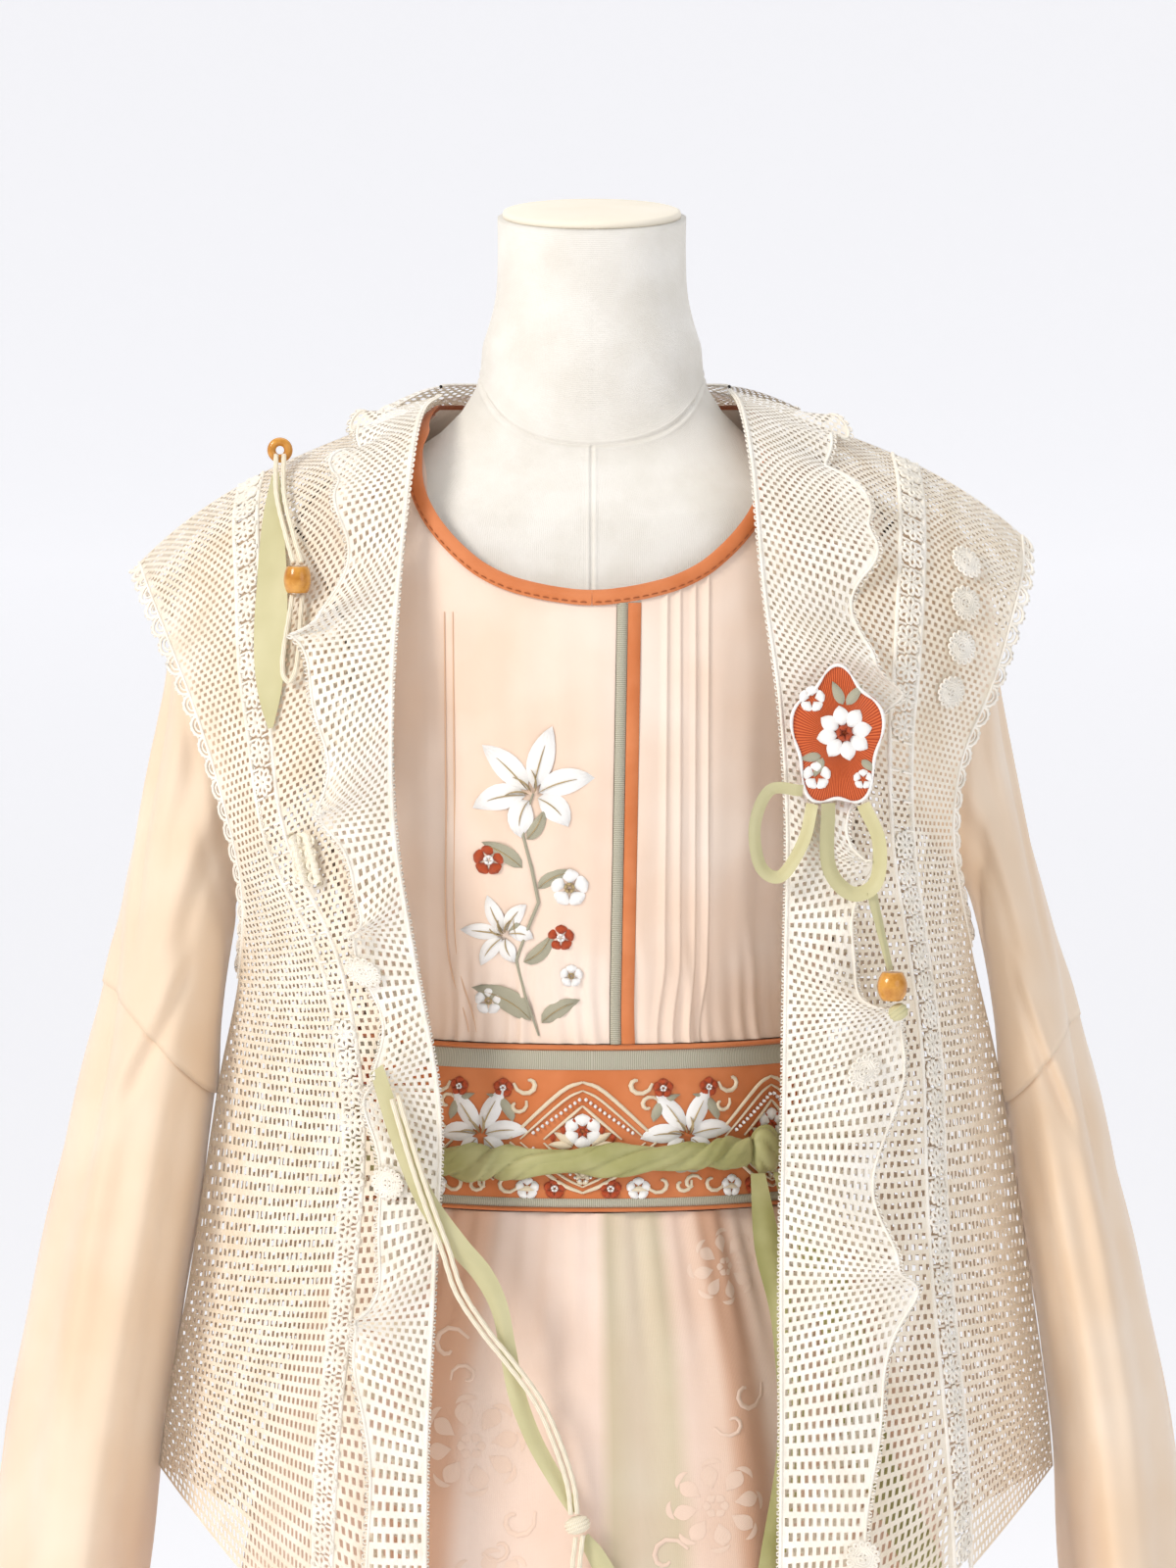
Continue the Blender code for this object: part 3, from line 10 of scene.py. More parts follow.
import bpy
import numpy as np
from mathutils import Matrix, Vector

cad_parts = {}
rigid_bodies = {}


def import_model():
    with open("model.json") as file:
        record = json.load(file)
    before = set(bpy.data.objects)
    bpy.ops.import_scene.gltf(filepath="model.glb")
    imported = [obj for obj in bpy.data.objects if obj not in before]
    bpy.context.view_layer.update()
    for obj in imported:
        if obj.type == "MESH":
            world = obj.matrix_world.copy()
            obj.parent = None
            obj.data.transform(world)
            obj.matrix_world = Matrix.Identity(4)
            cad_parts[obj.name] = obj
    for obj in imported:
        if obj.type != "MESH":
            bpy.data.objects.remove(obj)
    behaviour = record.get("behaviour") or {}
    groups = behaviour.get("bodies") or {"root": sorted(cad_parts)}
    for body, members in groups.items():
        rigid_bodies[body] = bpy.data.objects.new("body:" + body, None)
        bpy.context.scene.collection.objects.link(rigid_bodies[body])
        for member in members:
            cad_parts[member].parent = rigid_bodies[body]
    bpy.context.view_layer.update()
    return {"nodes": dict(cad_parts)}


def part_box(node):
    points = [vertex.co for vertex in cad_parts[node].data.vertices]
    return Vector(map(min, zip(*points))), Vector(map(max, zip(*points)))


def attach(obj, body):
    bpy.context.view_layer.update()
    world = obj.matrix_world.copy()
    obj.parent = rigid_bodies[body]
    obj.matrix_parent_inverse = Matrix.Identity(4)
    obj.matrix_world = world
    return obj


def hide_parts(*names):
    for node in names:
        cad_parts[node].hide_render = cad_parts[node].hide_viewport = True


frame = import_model()
print(len(frame["nodes"]), "solids in the frame")

# %% [markdown]
# ## Camera, backdrop and light
# The photograph was taken from nearly straight ahead, a little above, with a long lens. A long lens far away
# keeps the sleeves and the neck at one scale. The backdrop is a pale sweep, so that no horizon shows. It is
# wide enough for a camera to stand inside it on any side of the form, so that it never hides the back.

# %% Camera
PIXELS_PER_METRE = 1710.0
AIM = Vector((-0.0023, 0.0, 1.181))
DISTANCE = 7.0
RISE = math.radians(4.5)
camera = bpy.data.objects.new("camera", bpy.data.cameras.new("camera"))
bpy.context.collection.objects.link(camera)
camera.location = AIM + Vector((0, -math.cos(RISE), math.sin(RISE))) * DISTANCE
camera.rotation_euler = (math.pi / 2 - RISE, 0, 0)
camera.data.sensor_fit = "VERTICAL"
camera.data.sensor_height = 36
camera.data.lens = 36 * DISTANCE / (1600 / PIXELS_PER_METRE)
bpy.context.scene.camera = camera
bpy.context.scene.view_settings.view_transform = "Standard"
print("lens", round(camera.data.lens), "mm")


# %% Colours and nodes
def linear(code):
    """A colour written as on a swatch card, turned into the linear values that the shader needs."""
    parts = np.array([int(code[i:i + 2], 16) for i in (1, 3, 5)]) / 255
    return (*np.where(parts <= 0.04045, parts / 12.92, ((parts + 0.055) / 1.055) ** 2.4), 1.0)


def add_node(tree, kind, inputs=None, **settings):
    """One node: its settings, then its inputs, where a socket is linked and a plain value is set."""
    made = tree.nodes.new(kind)
    for key, value in settings.items():
        setattr(made, key, value)
    for key, value in (inputs or {}).items():
        if isinstance(value, bpy.types.NodeSocket):
            tree.links.new(value, made.inputs[key])
        else:
            made.inputs[key].default_value = value
    return made


def new_look(name, roughness, sheen=0.0):
    """An empty material with its shader, whose plain numbers sit on the shader's own sockets."""
    look = bpy.data.materials.new(name)
    look.use_nodes = True
    shader = look.node_tree.nodes["Principled BSDF"]
    shader.inputs["Roughness"].default_value = roughness
    shader.inputs["Sheen Weight"].default_value = sheen
    shader.inputs["Sheen Roughness"].default_value = 0.4
    shader.inputs["Specular IOR Level"].default_value = 0.3
    return look, look.node_tree, shader


# %% Backdrop and light
def sweep(width, depth, height, bend, steps=24):
    """A floor that curves up into a wall: flat, then a quarter circle, then straight up."""
    turn = np.linspace(0, math.pi / 2, steps)
    y = np.concatenate([[-depth], depth - bend + bend * np.sin(turn), [depth]])
    z = np.concatenate([[0.0], bend - bend * np.cos(turn), [height]])
    left = np.stack([np.full(len(y), -width), y, z], axis=-1)
    return np.stack([left, left * (-1, 1, 1)], axis=1)


backdrop_grid = sweep(40, 30, 30, 8)
backdrop_mesh = bpy.data.meshes.new("backdrop")
count = len(backdrop_grid)
backdrop_mesh.from_pydata(
    backdrop_grid.reshape(-1, 3).tolist(), [],
    [(2 * i, 2 * i + 1, 2 * i + 3, 2 * i + 2) for i in range(count - 1)]
)
backdrop_mesh.polygons.foreach_set("use_smooth", np.ones(count - 1, bool))
backdrop = bpy.data.objects.new("backdrop", backdrop_mesh)
bpy.context.collection.objects.link(backdrop)
paper, _, paper_shader = new_look("backdrop paper", 1.0)
paper_shader.inputs["Base Color"].default_value = linear("#F3F3F5")
paper_shader.inputs["Emission Color"].default_value = linear("#F6F6FA")
paper_shader.inputs["Emission Strength"].default_value = 0.37
backdrop_mesh.materials.append(paper)


def lamp(name, place, size, power, aim=(0, 0, 1.1)):
    """A round soft lamp that points at a place on the form."""
    light = bpy.data.lights.new(name, "AREA")
    light.shape = "DISK"
    light.size = size
    light.energy = power
    made = bpy.data.objects.new(name, light)
    bpy.context.collection.objects.link(made)
    made.location = place
    made.rotation_euler = (Vector(aim) - Vector(place)).to_track_quat("-Z", "Y").to_euler()
    return made


window = lamp("window", (-3.0, -2.6, 3.3), 1.5, 112)
window.data.color = linear("#FFF8EE")[:3]
lamp("fill", (3.0, -3.6, 2.2), 3.0, 31)
lamp("top", (0.0, 0.6, 4.4), 3.0, 36)
world = bpy.data.worlds.new("studio") if bpy.context.scene.world is None else bpy.context.scene.world
bpy.context.scene.world = world
world.use_nodes = True
world.node_tree.nodes["Background"].inputs["Color"].default_value = linear("#FAFAFB")
world.node_tree.nodes["Background"].inputs["Strength"].default_value = 0.55
print("camera, backdrop and", 3, "lamps")

# %% [markdown]
# ## Surfaces
# Cloth is easiest to describe as a function of two numbers, one across the piece and one down it. Short
# tables hold the sizes at a few places, and a smooth curve through them gives every place in between.


# %% Curves through tables
def through(knots, values, at):
    """A smooth curve through values at their knots: cubic pieces that share a slope where they meet."""
    knots, values = np.asarray(knots, float), np.asarray(values, float)
    slopes = np.gradient(values, knots, axis=0)
    at = np.clip(np.asarray(at, float), knots[0], knots[-1])
    i = np.clip(np.searchsorted(knots, at, side="right") - 1, 0, len(knots) - 2)
    h = knots[i + 1] - knots[i]
    t = (at - knots[i]) / h
    if values.ndim > 1:
        h, t = h[..., None], t[..., None]
    start = values[i] * (1 + 2 * t) * (1 - t) ** 2 + slopes[i] * h * t * (1 - t) ** 2
    return start + values[i + 1] * t * t * (3 - 2 * t) + slopes[i + 1] * h * t * t * (t - 1)


def even(values, at):
    """The same curve, with the values evenly spaced from 0 to 1."""
    return through(np.linspace(0, 1, len(values)), values, at)


def unit(vectors):
    """The same directions with length 1."""
    return vectors / np.maximum(np.linalg.norm(vectors, axis=-1, keepdims=True), 1e-12)


def smooth(start, end, value):
    """0 before start, 1 after end, and an even ramp with soft ends between."""
    t = np.clip((value - start) / (end - start), 0, 1)
    return t * t * (3 - 2 * t)


def steps_along(points):
    """Distance travelled at each point of a line."""
    return np.insert(np.cumsum(np.linalg.norm(np.diff(points, axis=0), axis=-1)), 0, 0)


# %% Meshes from grids
def quads(rows, columns):
    """The four corners of every cell of a grid, as indices."""
    i, j = (a.ravel() for a in np.mgrid[0:rows - 1, 0:columns - 1])
    first = i * columns + j
    return np.stack([first, first + 1, first + columns + 1, first + columns], axis=-1)


def mesh_piece(name, points, faces, uv, look):
    """One object from points, cells and each point's place on the cloth in metres."""
    mesh = bpy.data.meshes.new(name + "_piece")
    mesh.from_pydata(points.reshape(-1, 3).tolist(), [], faces.tolist())
    mesh.polygons.foreach_set("use_smooth", np.ones(len(faces), bool))
    layer = mesh.uv_layers.new(name="cloth")
    layer.data.foreach_set("uv", uv.reshape(-1, 2)[faces.ravel()].ravel().astype(np.float32))
    mesh.materials.append(look)
    made = bpy.data.objects.new(name + "_piece", mesh)
    bpy.context.collection.objects.link(made)
    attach(made, "root")
    return made


def cloth_uv(grid):
    """Each point's place on the flat cloth: distances along the middle row and the middle column."""
    rows, columns = grid.shape[:2]
    u, v = steps_along(grid[rows // 2]), steps_along(grid[:, columns // 2])
    return np.stack(np.meshgrid(u, v), axis=-1)


def cloth(name, grid, look, keep=None):
    """A piece of cloth from a grid of points, without the cells that keep leaves out."""
    faces = quads(*grid.shape[:2])
    if keep is not None:
        faces = faces[keep.ravel()]
    return mesh_piece(name, grid, faces, cloth_uv(grid), look)


def many(name, grids, look):
    """Many small grids of one shape, such as petals or threads, joined into one object."""
    count, rows, columns = grids.shape[:3]
    faces = (quads(rows, columns)[None] + np.arange(count)[:, None, None] * rows * columns).reshape(-1, 4)
    uv = np.array([cloth_uv(grid) for grid in grids]) + np.arange(count)[:, None, None, None] * 0.0137
    return mesh_piece(name, grids, faces, uv, look)


def tube(path, radius, sides=6, reference=(0, 1, 0)):
    """Rings round a line: each ring is a circle square to the line there."""
    along = unit(np.gradient(path, axis=0))
    side = unit(np.cross(along, np.broadcast_to(np.asarray(reference, float), along.shape)))
    up = np.cross(side, along)
    turn = np.linspace(0, 2 * math.pi, sides + 1)
    radius = np.broadcast_to(np.asarray(radius, float), (len(path),))[:, None, None]
    return path[:, None] + radius * (
        side[:, None] * np.cos(turn)[:, None] + up[:, None] * np.sin(turn)[:, None]
    )


def turned(name, profile, place, look, steps=40, tilt=None):
    """A profile of radius and height, turned round an upright axis."""
    profile = np.asarray(profile, float)
    turn = np.linspace(0, 2 * math.pi, steps + 1)
    ring = np.stack([np.cos(turn), np.sin(turn)], axis=-1)
    grid = np.concatenate(
        [profile[:, None, :1] * ring[None], np.repeat(profile[:, None, 1:], steps + 1, axis=1)], axis=-1
    )
    if tilt is not None:
        grid = grid @ np.array(tilt).T
    return cloth(name, grid + np.asarray(place), look)


print("surface helpers ready")

# %% [markdown]
# ## Materials
# Each material starts from the thread or cloth that it is made of: a weave at its real pitch, a slow change
# of colour, and a rough or silky shine. The patterns use the cloth's own coordinates in metres.


# %% Cloth materials
def waves(tree, socket, pitch, axis):
    """Parallel ridges at a real pitch: 0.31416 is the node's own wave length."""
    wave = add_node(
        tree, "ShaderNodeTexWave",
        {"Vector": socket, "Scale": 0.31416 / pitch, "Distortion": 0.35, "Detail": 1.0},
        wave_type="BANDS", bands_direction=axis,
    )
    return wave.outputs["Fac"]


def blotches(tree, colours, size, low=0.35, high=0.65):
    """A slow change between two colours, over patches of a real size."""
    place = add_node(tree, "ShaderNodeTexCoord").outputs["Object"]
    noise = add_node(tree, "ShaderNodeTexNoise", {"Vector": place, "Scale": 1 / size, "Detail": 3.0})
    ramp = add_node(tree, "ShaderNodeValToRGB", {"Fac": noise.outputs["Fac"]})
    ramp.color_ramp.elements[0].position, ramp.color_ramp.elements[1].position = low, high
    ramp.color_ramp.elements[0].color, ramp.color_ramp.elements[1].color = (linear(c) for c in colours)
    return ramp.outputs["Color"]


def finish_bump(tree, shader, height, depth):
    """Turns a height from 0 to 1 into relief of a real depth."""
    bump = add_node(tree, "ShaderNodeBump", {"Height": height, "Distance": depth, "Strength": 1.0})
    tree.links.new(bump.outputs["Normal"], shader.inputs["Normal"])


def woven(name, colours, size, pitch, depth, roughness, sheen=0.0):
    """A plain weave: ridges both ways, the higher of the two at each place, over slow blotches of colour."""
    look, tree, shader = new_look(name, roughness, sheen)
    place = add_node(tree, "ShaderNodeTexCoord").outputs["UV"]
    weave = add_node(
        tree, "ShaderNodeMath", {0: waves(tree, place, pitch, "X"), 1: waves(tree, place, pitch, "Y")},
        operation="MAXIMUM"
    )
    tree.links.new(blotches(tree, colours, size), shader.inputs["Base Color"])
    finish_bump(tree, shader, weave.outputs[0], depth)
    return look


def stitched(name, colours, pitch=0.00045, depth=0.00025, roughness=0.45, axis="X", sheen=0.1):
    """Satin stitch: shiny threads side by side, with painted shade: the colour follows the ridges
    of the relief, lighter on each thread's crown and darker in the groove between two threads.
    """
    look, tree, shader = new_look(name, roughness, sheen)
    place = add_node(tree, "ShaderNodeTexCoord").outputs["UV"]
    ridges = waves(tree, place, pitch, axis)
    # Painted shade and highlight: the ramp darkens the grooves and lightens the crowns of the threads
    ramp = add_node(tree, "ShaderNodeValToRGB", {"Fac": ridges})
    ramp.color_ramp.elements[0].color, ramp.color_ramp.elements[1].color = (linear(c) for c in colours)
    tree.links.new(ramp.outputs["Color"], shader.inputs["Base Color"])
    finish_bump(tree, shader, ridges, depth)
    return look


linen = woven("linen", ("#E8E4DC", "#F1EEE8"), 0.03, 0.00090, 0.00016, 0.9, 0.1)
board = woven("cream board", ("#F2EADA", "#F5EEE0"), 0.05, 0.0006, 0.00005, 0.8)
peach_silk = woven("peach silk", ("#EED3BE", "#F6E4D6"), 0.10, 0.00030, 0.00003, 0.45, 0.25)
warm_silk = woven("warm silk", ("#E8CDB0", "#F0DDC8"), 0.12, 0.00030, 0.00003, 0.5, 0.25)
orange_silk = woven("orange silk", ("#CC7440", "#D98452"), 0.03, 0.00030, 0.00004, 0.4, 0.2)
sage_satin = woven("sage satin", ("#9E9C64", "#B4B17E"), 0.03, 0.00028, 0.00002, 0.4, 0.1)
strap_satin = woven("pale green satin", ("#C2BC90", "#CFC9A0"), 0.05, 0.00028, 0.00002, 0.4, 0.1)
sage_thread = stitched("grey-green thread", ("#98947C", "#C2BEAA"), 0.0006, 0.00012)
band_thread = stitched("grey-green band thread", ("#99957F", "#CBC7B7"), 0.0011, 0.00025, axis="Y")
white_thread = stitched("white thread", ("#EFECE8", "#FFFFFF"), 0.0006, 0.00010)
ivory_thread = stitched("ivory thread", ("#DFCAA6", "#F8ECD6"), 0.0006, 0.00012)
peach_thread = stitched("peach thread", ("#DDAF8B", "#EBC7A8"), 0.0006, 0.00008)
print_cream = stitched("cream print", ("#E8CBB7", "#ECD4C3"), 0.0008, 0.00003)
red_thread = stitched("red thread", ("#B03B1C", "#E06A3A"))
rust_thread = stitched("rust thread", ("#A83C18", "#E0703C"), 0.0006, 0.0003)
gold_thread = stitched("gold thread", ("#BFA26B", "#E4CC9E"), roughness=0.35)
orange_thread = stitched("orange thread", ("#A95526", "#C56C38"))
macrame_cotton = stitched("macrame cord", ("#EFE4CC", "#FFF9EC"), 0.0011, 0.00015, 0.8)
cord_cotton = stitched("cream cord", ("#E2D6BA", "#F6EEDD"), 0.0011, 0.00015, 0.8)


# %% Crochet, wood and iron
NET = 0.0047              # pitch of the net


def crochet_look(name, colours):
    """Crochet cotton: thread that is low at the net's openings and high between them, with fine fibres."""
    look, tree, shader = new_look(name, 0.85, 0.3)
    place = add_node(tree, "ShaderNodeTexCoord").outputs["UV"]
    parts = add_node(tree, "ShaderNodeSeparateXYZ", {"Vector": place})
    x = add_node(
        tree, "ShaderNodeMath", {0: parts.outputs["X"], 1: 2 * math.pi / NET, 2: -math.pi / 2},
        operation="MULTIPLY_ADD"
    )
    y = add_node(
        tree, "ShaderNodeMath", {0: parts.outputs["Y"], 1: math.pi / NET, 2: -math.pi / 4},
        operation="MULTIPLY_ADD"
    )
    across = add_node(tree, "ShaderNodeMath", {0: x.outputs[0]}, operation="COSINE")
    down = add_node(tree, "ShaderNodeMath", {0: y.outputs[0]}, operation="COSINE")
    net = add_node(tree, "ShaderNodeMath", {0: across.outputs[0], 1: down.outputs[0]}, operation="MULTIPLY")
    fibre = add_node(
        tree, "ShaderNodeTexNoise", {"Vector": place, "Scale": 1 / 0.0008, "Detail": 2.0, "Roughness": 0.7}
    )
    height = add_node(
        tree, "ShaderNodeMath", {0: net.outputs[0], 1: -0.55, 2: fibre.outputs["Fac"]},
        operation="MULTIPLY_ADD"
    )
    tree.links.new(blotches(tree, colours, 0.02), shader.inputs["Base Color"])
    finish_bump(tree, shader, height.outputs[0], 0.0004)
    return look


def grained(name, colours, size, roughness, coat):
    """Wood or painted iron: slow blotches of colour under a coat."""
    look, tree, shader = new_look(name, roughness)
    tree.links.new(blotches(tree, colours, size), shader.inputs["Base Color"])
    shader.inputs["Coat Weight"].default_value = coat
    return look


# Painted shade: the fronts, the plain net under the ruffles and the back take a darker copy of the same cream
# crochet, so that the ruffles stand out from the lace beneath them
crochet = crochet_look("cream crochet", ("#F3ECDF", "#FCF7EE"))
shaded_crochet = crochet_look("shaded cream crochet", ("#ECDFCA", "#F5ECDD"))
wood = grained("varnished wood", ("#B97820", "#D79A41"), 0.006, 0.3, 0.6)
iron = grained("painted iron", ("#DAD7D1", "#E2DFD9"), 0.08, 0.4, 0.1)
print(len(bpy.data.materials), "materials")

# %% [markdown]
# ## The figure and the form
# The form is linen stretched over padding, closed by a centre-front seam and a seam round the foot of the
# neck. It is one surface of height and angle, and each seam is a fine groove between two low ridges.

# %% Sizes that every piece shares
SEAM = 0.0003             # gap that two sewn pieces keep
SILK_WALL, LACE_WALL = 0.0012, 0.0016
NECK_TOP, NECK_TILT, BASE_RADIUS, BASE_HEIGHT, POLE_RADIUS = 1.518, math.radians(6), 0.19, 0.014, 0.0145
FORM_BOTTOM, FORM_INSET, SHOULDER_INSET, BODICE_EASE = 0.70, 0.0070, 0.0130, 0.0025
WAIST_TOP, WAIST_BOTTOM, WAIST_HALF_WIDTH, WAIST_HALF_DEPTH = 1.035, 0.9362, 0.1375, 0.1020
# Height, half width, half depth and centre of the figure
FORM_RINGS = np.array([
    (1.518, 0.0562, 0.0565, 0.006), (1.495, 0.0560, 0.0565, 0.006), (1.470, 0.0575, 0.0580, 0.006),
    (1.443, 0.0650, 0.0620, 0.006), (1.415, 0.0765, 0.0680, 0.005), (1.397, 0.0960, 0.0720, 0.004),
    (1.382, 0.1220, 0.0770, 0.002), (1.366, 0.1480, 0.0820, 0.000), (1.348, 0.1670, 0.0870, 0.000),
    (1.322, 0.1760, 0.0930, -0.001), (1.280, 0.1720, 0.1010, -0.003), (1.230, 0.1620, 0.1100, -0.004),
    (1.170, 0.1560, 0.1150, -0.004), (1.110, 0.1460, 0.1080, -0.002), (1.050, 0.1310, 0.0970, 0.000),
    (0.975, 0.1220, 0.0900, 0.000), (0.900, 0.1380, 0.0990, 0.000), (0.800, 0.1640, 0.1110, 0.000),
    (0.730, 0.1630, 0.1100, 0.000), (0.700, 0.1540, 0.1030, 0.000),
])


def figure(height):
    """Half width, half depth and centre of the figure at a height."""
    order = FORM_RINGS[::-1]
    return np.moveaxis(through(order[:, 0], order[:, 1:], height), -1, 0)


def round_figure(angle, height, ease):
    """An ellipse at each height, read at an angle from the front towards +X and moved out by an ease."""
    width, depth, centre = figure(height)
    x = (width + ease) * np.sin(angle)
    return np.stack([x, centre - (depth + ease) * np.cos(angle), height + 0 * angle], axis=-1)


def groove(distance, width):
    """A seam: a dip with a low ridge at each side, at a distance from the seam."""
    t = distance / width
    return -np.exp(-t * t) + 0.45 * np.exp(-((np.abs(t) - 1.9) ** 2))


def declared(made, slot, *nodes):
    """Hides the solids that a piece takes the place of. The slot is not used."""
    if nodes:
        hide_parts(*nodes)
    return made


# %% Dress form
# The grid is fine where the seams run: its rows follow the foot of the neck
turns = np.concatenate(
    [np.linspace(-0.035, 0.035, 33), np.linspace(0.05, 2 * math.pi - 0.05, 79), [2 * math.pi - 0.035]]
)
rows = np.concatenate([np.linspace(0, 0.79, 60), np.linspace(0.795, 0.805, 21), np.linspace(0.81, 1, 36)])
angle, row = np.meshgrid(turns, rows)
foot_of_neck = 1.386 + 0.028 * np.sin(angle) ** 2 + 0.010 * (1 - np.cos(angle))
height = np.where(
    row < 0.8, FORM_BOTTOM + (foot_of_neck - FORM_BOTTOM) * row / 0.8,
    foot_of_neck + (NECK_TOP - foot_of_neck) * (row - 0.8) / 0.2
)
inset = FORM_INSET * np.clip((1.443 - height) / 0.035, 0, 1) + SHOULDER_INSET * np.exp(
    -((height - 1.378) / 0.022) ** 2
)
grid = round_figure(angle, height, -inset)
grid[..., 1] -= 0.0010 * (np.cos(angle) > 0) * groove(grid[..., 0], 0.0011) * (height < foot_of_neck)
grid += unit(grid * (1, 1, 0)) * 0.0010 * groove(height - foot_of_neck, 0.0011)[..., None]
lean = np.clip((height - 1.443) / (NECK_TOP - 1.443), 0, 1) * math.tan(NECK_TILT)
grid[..., 2] += lean * grid[..., 1]
middle = grid.mean(axis=1, keepdims=True)
ends = [middle[:1] + (grid[:1] - middle[:1]) * share for share in (0, 0.5)]
tops = [middle[-1:] + (grid[-1:] - middle[-1:]) * share for share in (0.5, 0)]
torso = cloth("dress_form", np.concatenate([*ends, grid, *tops]), linen)
declared(torso, "linen", "form_torso")

cap_middle = (0, 0.006, NECK_TOP + 0.006 * math.tan(NECK_TILT) + SEAM)
cap_tilt = [
    [1, 0, 0], [0, math.cos(NECK_TILT), -math.sin(NECK_TILT)], [0, math.sin(NECK_TILT), math.cos(NECK_TILT)]
]
cap_profile = [
    (0, 0), (0.0530, 0), (0.0532, 0.0022), (0.0526, 0.0036), (0.0510, 0.0042), (0.020, 0.0045), (0, 0.0045)
]
cap = turned("neck_cap", cap_profile, cap_middle, board, 96, cap_tilt)
declared(cap, "cream_board", "form_neck_cap")
base_profile = [
    (0, 0), (0.186, 0), (0.1895, 0.002), (BASE_RADIUS, 0.006), (0.1885, 0.0105), (0.183, 0.0135),
    (0.03, BASE_HEIGHT),
    (0, BASE_HEIGHT),
]
base = turned("stand_base", base_profile, (0, 0, 0), iron, 120)
declared(base, "painted_iron", "form_base")
pole_profile = [
    (0, 0.0143), (0.025, 0.0143), (0.026, 0.017), (0.026, 0.030), (0.022, 0.038), (POLE_RADIUS, 0.046),
    (POLE_RADIUS, 0.69), (POLE_RADIUS, FORM_BOTTOM - SEAM), (0, FORM_BOTTOM - SEAM),
]
pole = turned("stand_pole", pole_profile, (0, 0, 0), iron, 48)
declared(pole, "painted_iron", "form_pole")
print("form, cap, pole and base")

# %% [markdown]
# ## Silk bodice
# The bodice is satin cut in two fronts and a back. Sewn tucks give the wearer's left front its sharp upright
# ridges, and the cloth is gathered into the waistband, so that small folds rise from it and die out. All of
# these are heights added to one smooth surface, which keeps them sharp without a cloth simulation.

# %% Bodice surfaces
# Distance from the centre and height of the neckline; the last row is on the shoulder
NECKLINE = np.array([
    (0.000, 1.3010), (0.030, 1.3050), (0.055, 1.3120), (0.074, 1.3250), (0.087, 1.3400),
    (0.0970, 1.3580), (0.0990, 1.3720), (0.0950, 1.3900), (0.0890, 1.4040),
])
BACK_NECK, CHEST_WIDTH, PLACKET_TOP, PLACKET_FOOT = 1.399, 0.176, 0.0205, 0.0158
ARMHOLE_TURN, ARMHOLE_MIDDLE, ARMHOLE_HALF = math.radians(37), 1.265, 0.075
TUCKS = (0.0440, 0.0515, 0.0605, 0.0680)


def neckline_height(angle):
    """Height of the neckline at an angle round the form, the same on both sides."""
    turn = np.abs((angle + math.pi) % (2 * math.pi) - math.pi)
    angles = np.arcsin(np.clip(NECKLINE[:, 0] / (figure(NECKLINE[:, 1])[0] + BODICE_EASE), 0, 1))
    angles[-1] = math.pi / 2
    knots, values = np.append(angles, math.pi), np.append(NECKLINE[:, 1], BACK_NECK)
    return sum(np.interp(np.abs(turn + step), knots, values) for step in (-0.06, -0.03, 0, 0.03, 0.06)) / 5


def placket_line(height):
    """Distance of the placket's middle from the centre, which falls evenly towards the waist."""
    return PLACKET_FOOT + (PLACKET_TOP - PLACKET_FOOT) * (height - WAIST_TOP) / (NECKLINE[0, 1] - WAIST_TOP)


def waist_ring(height, out, turn):
    """The waistband's own ellipse, moved out, which widens a little towards its foot."""
    lean = (WAIST_TOP - height) * 0.02 + out
    x = (WAIST_HALF_WIDTH + lean) * np.sin(turn)
    return np.stack([x, -(WAIST_HALF_DEPTH + lean) * np.cos(turn), height + 0 * turn], axis=-1)


def bodice_point(angle, height, out):
    """The figure with its ease, drawn out to the waistband's ellipse over the last stretch."""
    share = np.clip((1.065 - height) / 0.038, 0, 1)[..., None]
    free = round_figure(angle, height, BODICE_EASE + out)
    return free * (1 - share) + waist_ring(height, out, angle) * share


def front_angle(chest, height):
    """Angle of a thread of the cloth: upright near the centre, following the figure at the side."""
    width = figure(height)[0] + BODICE_EASE
    follow = np.clip(np.abs(chest) / CHEST_WIDTH, 0, 1) ** 3
    across = chest * ((1 - follow) + follow * width / (CHEST_WIDTH + BODICE_EASE))
    return np.arcsin(np.clip(across / width, -1, 1))


def tuck_height(chest, height):
    """Sewn tucks: each rises slowly and drops sharply, and they fan out below the waist's gathers."""
    fan = smooth(1.085, 1.03, height) * 0.10
    rise = 0 * chest
    for place in TUCKS:
        t = (chest - place * (1 - fan)) / 0.0042
        rise += 0.0015 * np.where(t < 0, np.clip(1 + t, 0, 1) ** 1.5, np.clip(1 - 5 * t, 0, 1))
    return rise


def silk_waves(chest, height, seed):
    """Soft upright waves of the satin, and the gathers that rise from the waistband."""
    gather = smooth(1.120, 1.035, height)
    wander = 0.004 * np.sin(height * 31 + seed) + 0.002 * np.sin(height * 67 + 2 * seed)
    broad = np.sin((chest + wander) * 210 + seed) * np.sin((chest - wander) * 97 + 2 * seed)
    fine = np.sin((chest + wander * 0.6) * 610 + 3 * seed) * (0.6 + 0.4 * np.sin(chest * 170 + seed))
    return 0.0007 * broad * (0.4 + 0.6 * smooth(1.30, 1.15, height)) + 0.0011 * gather * fine


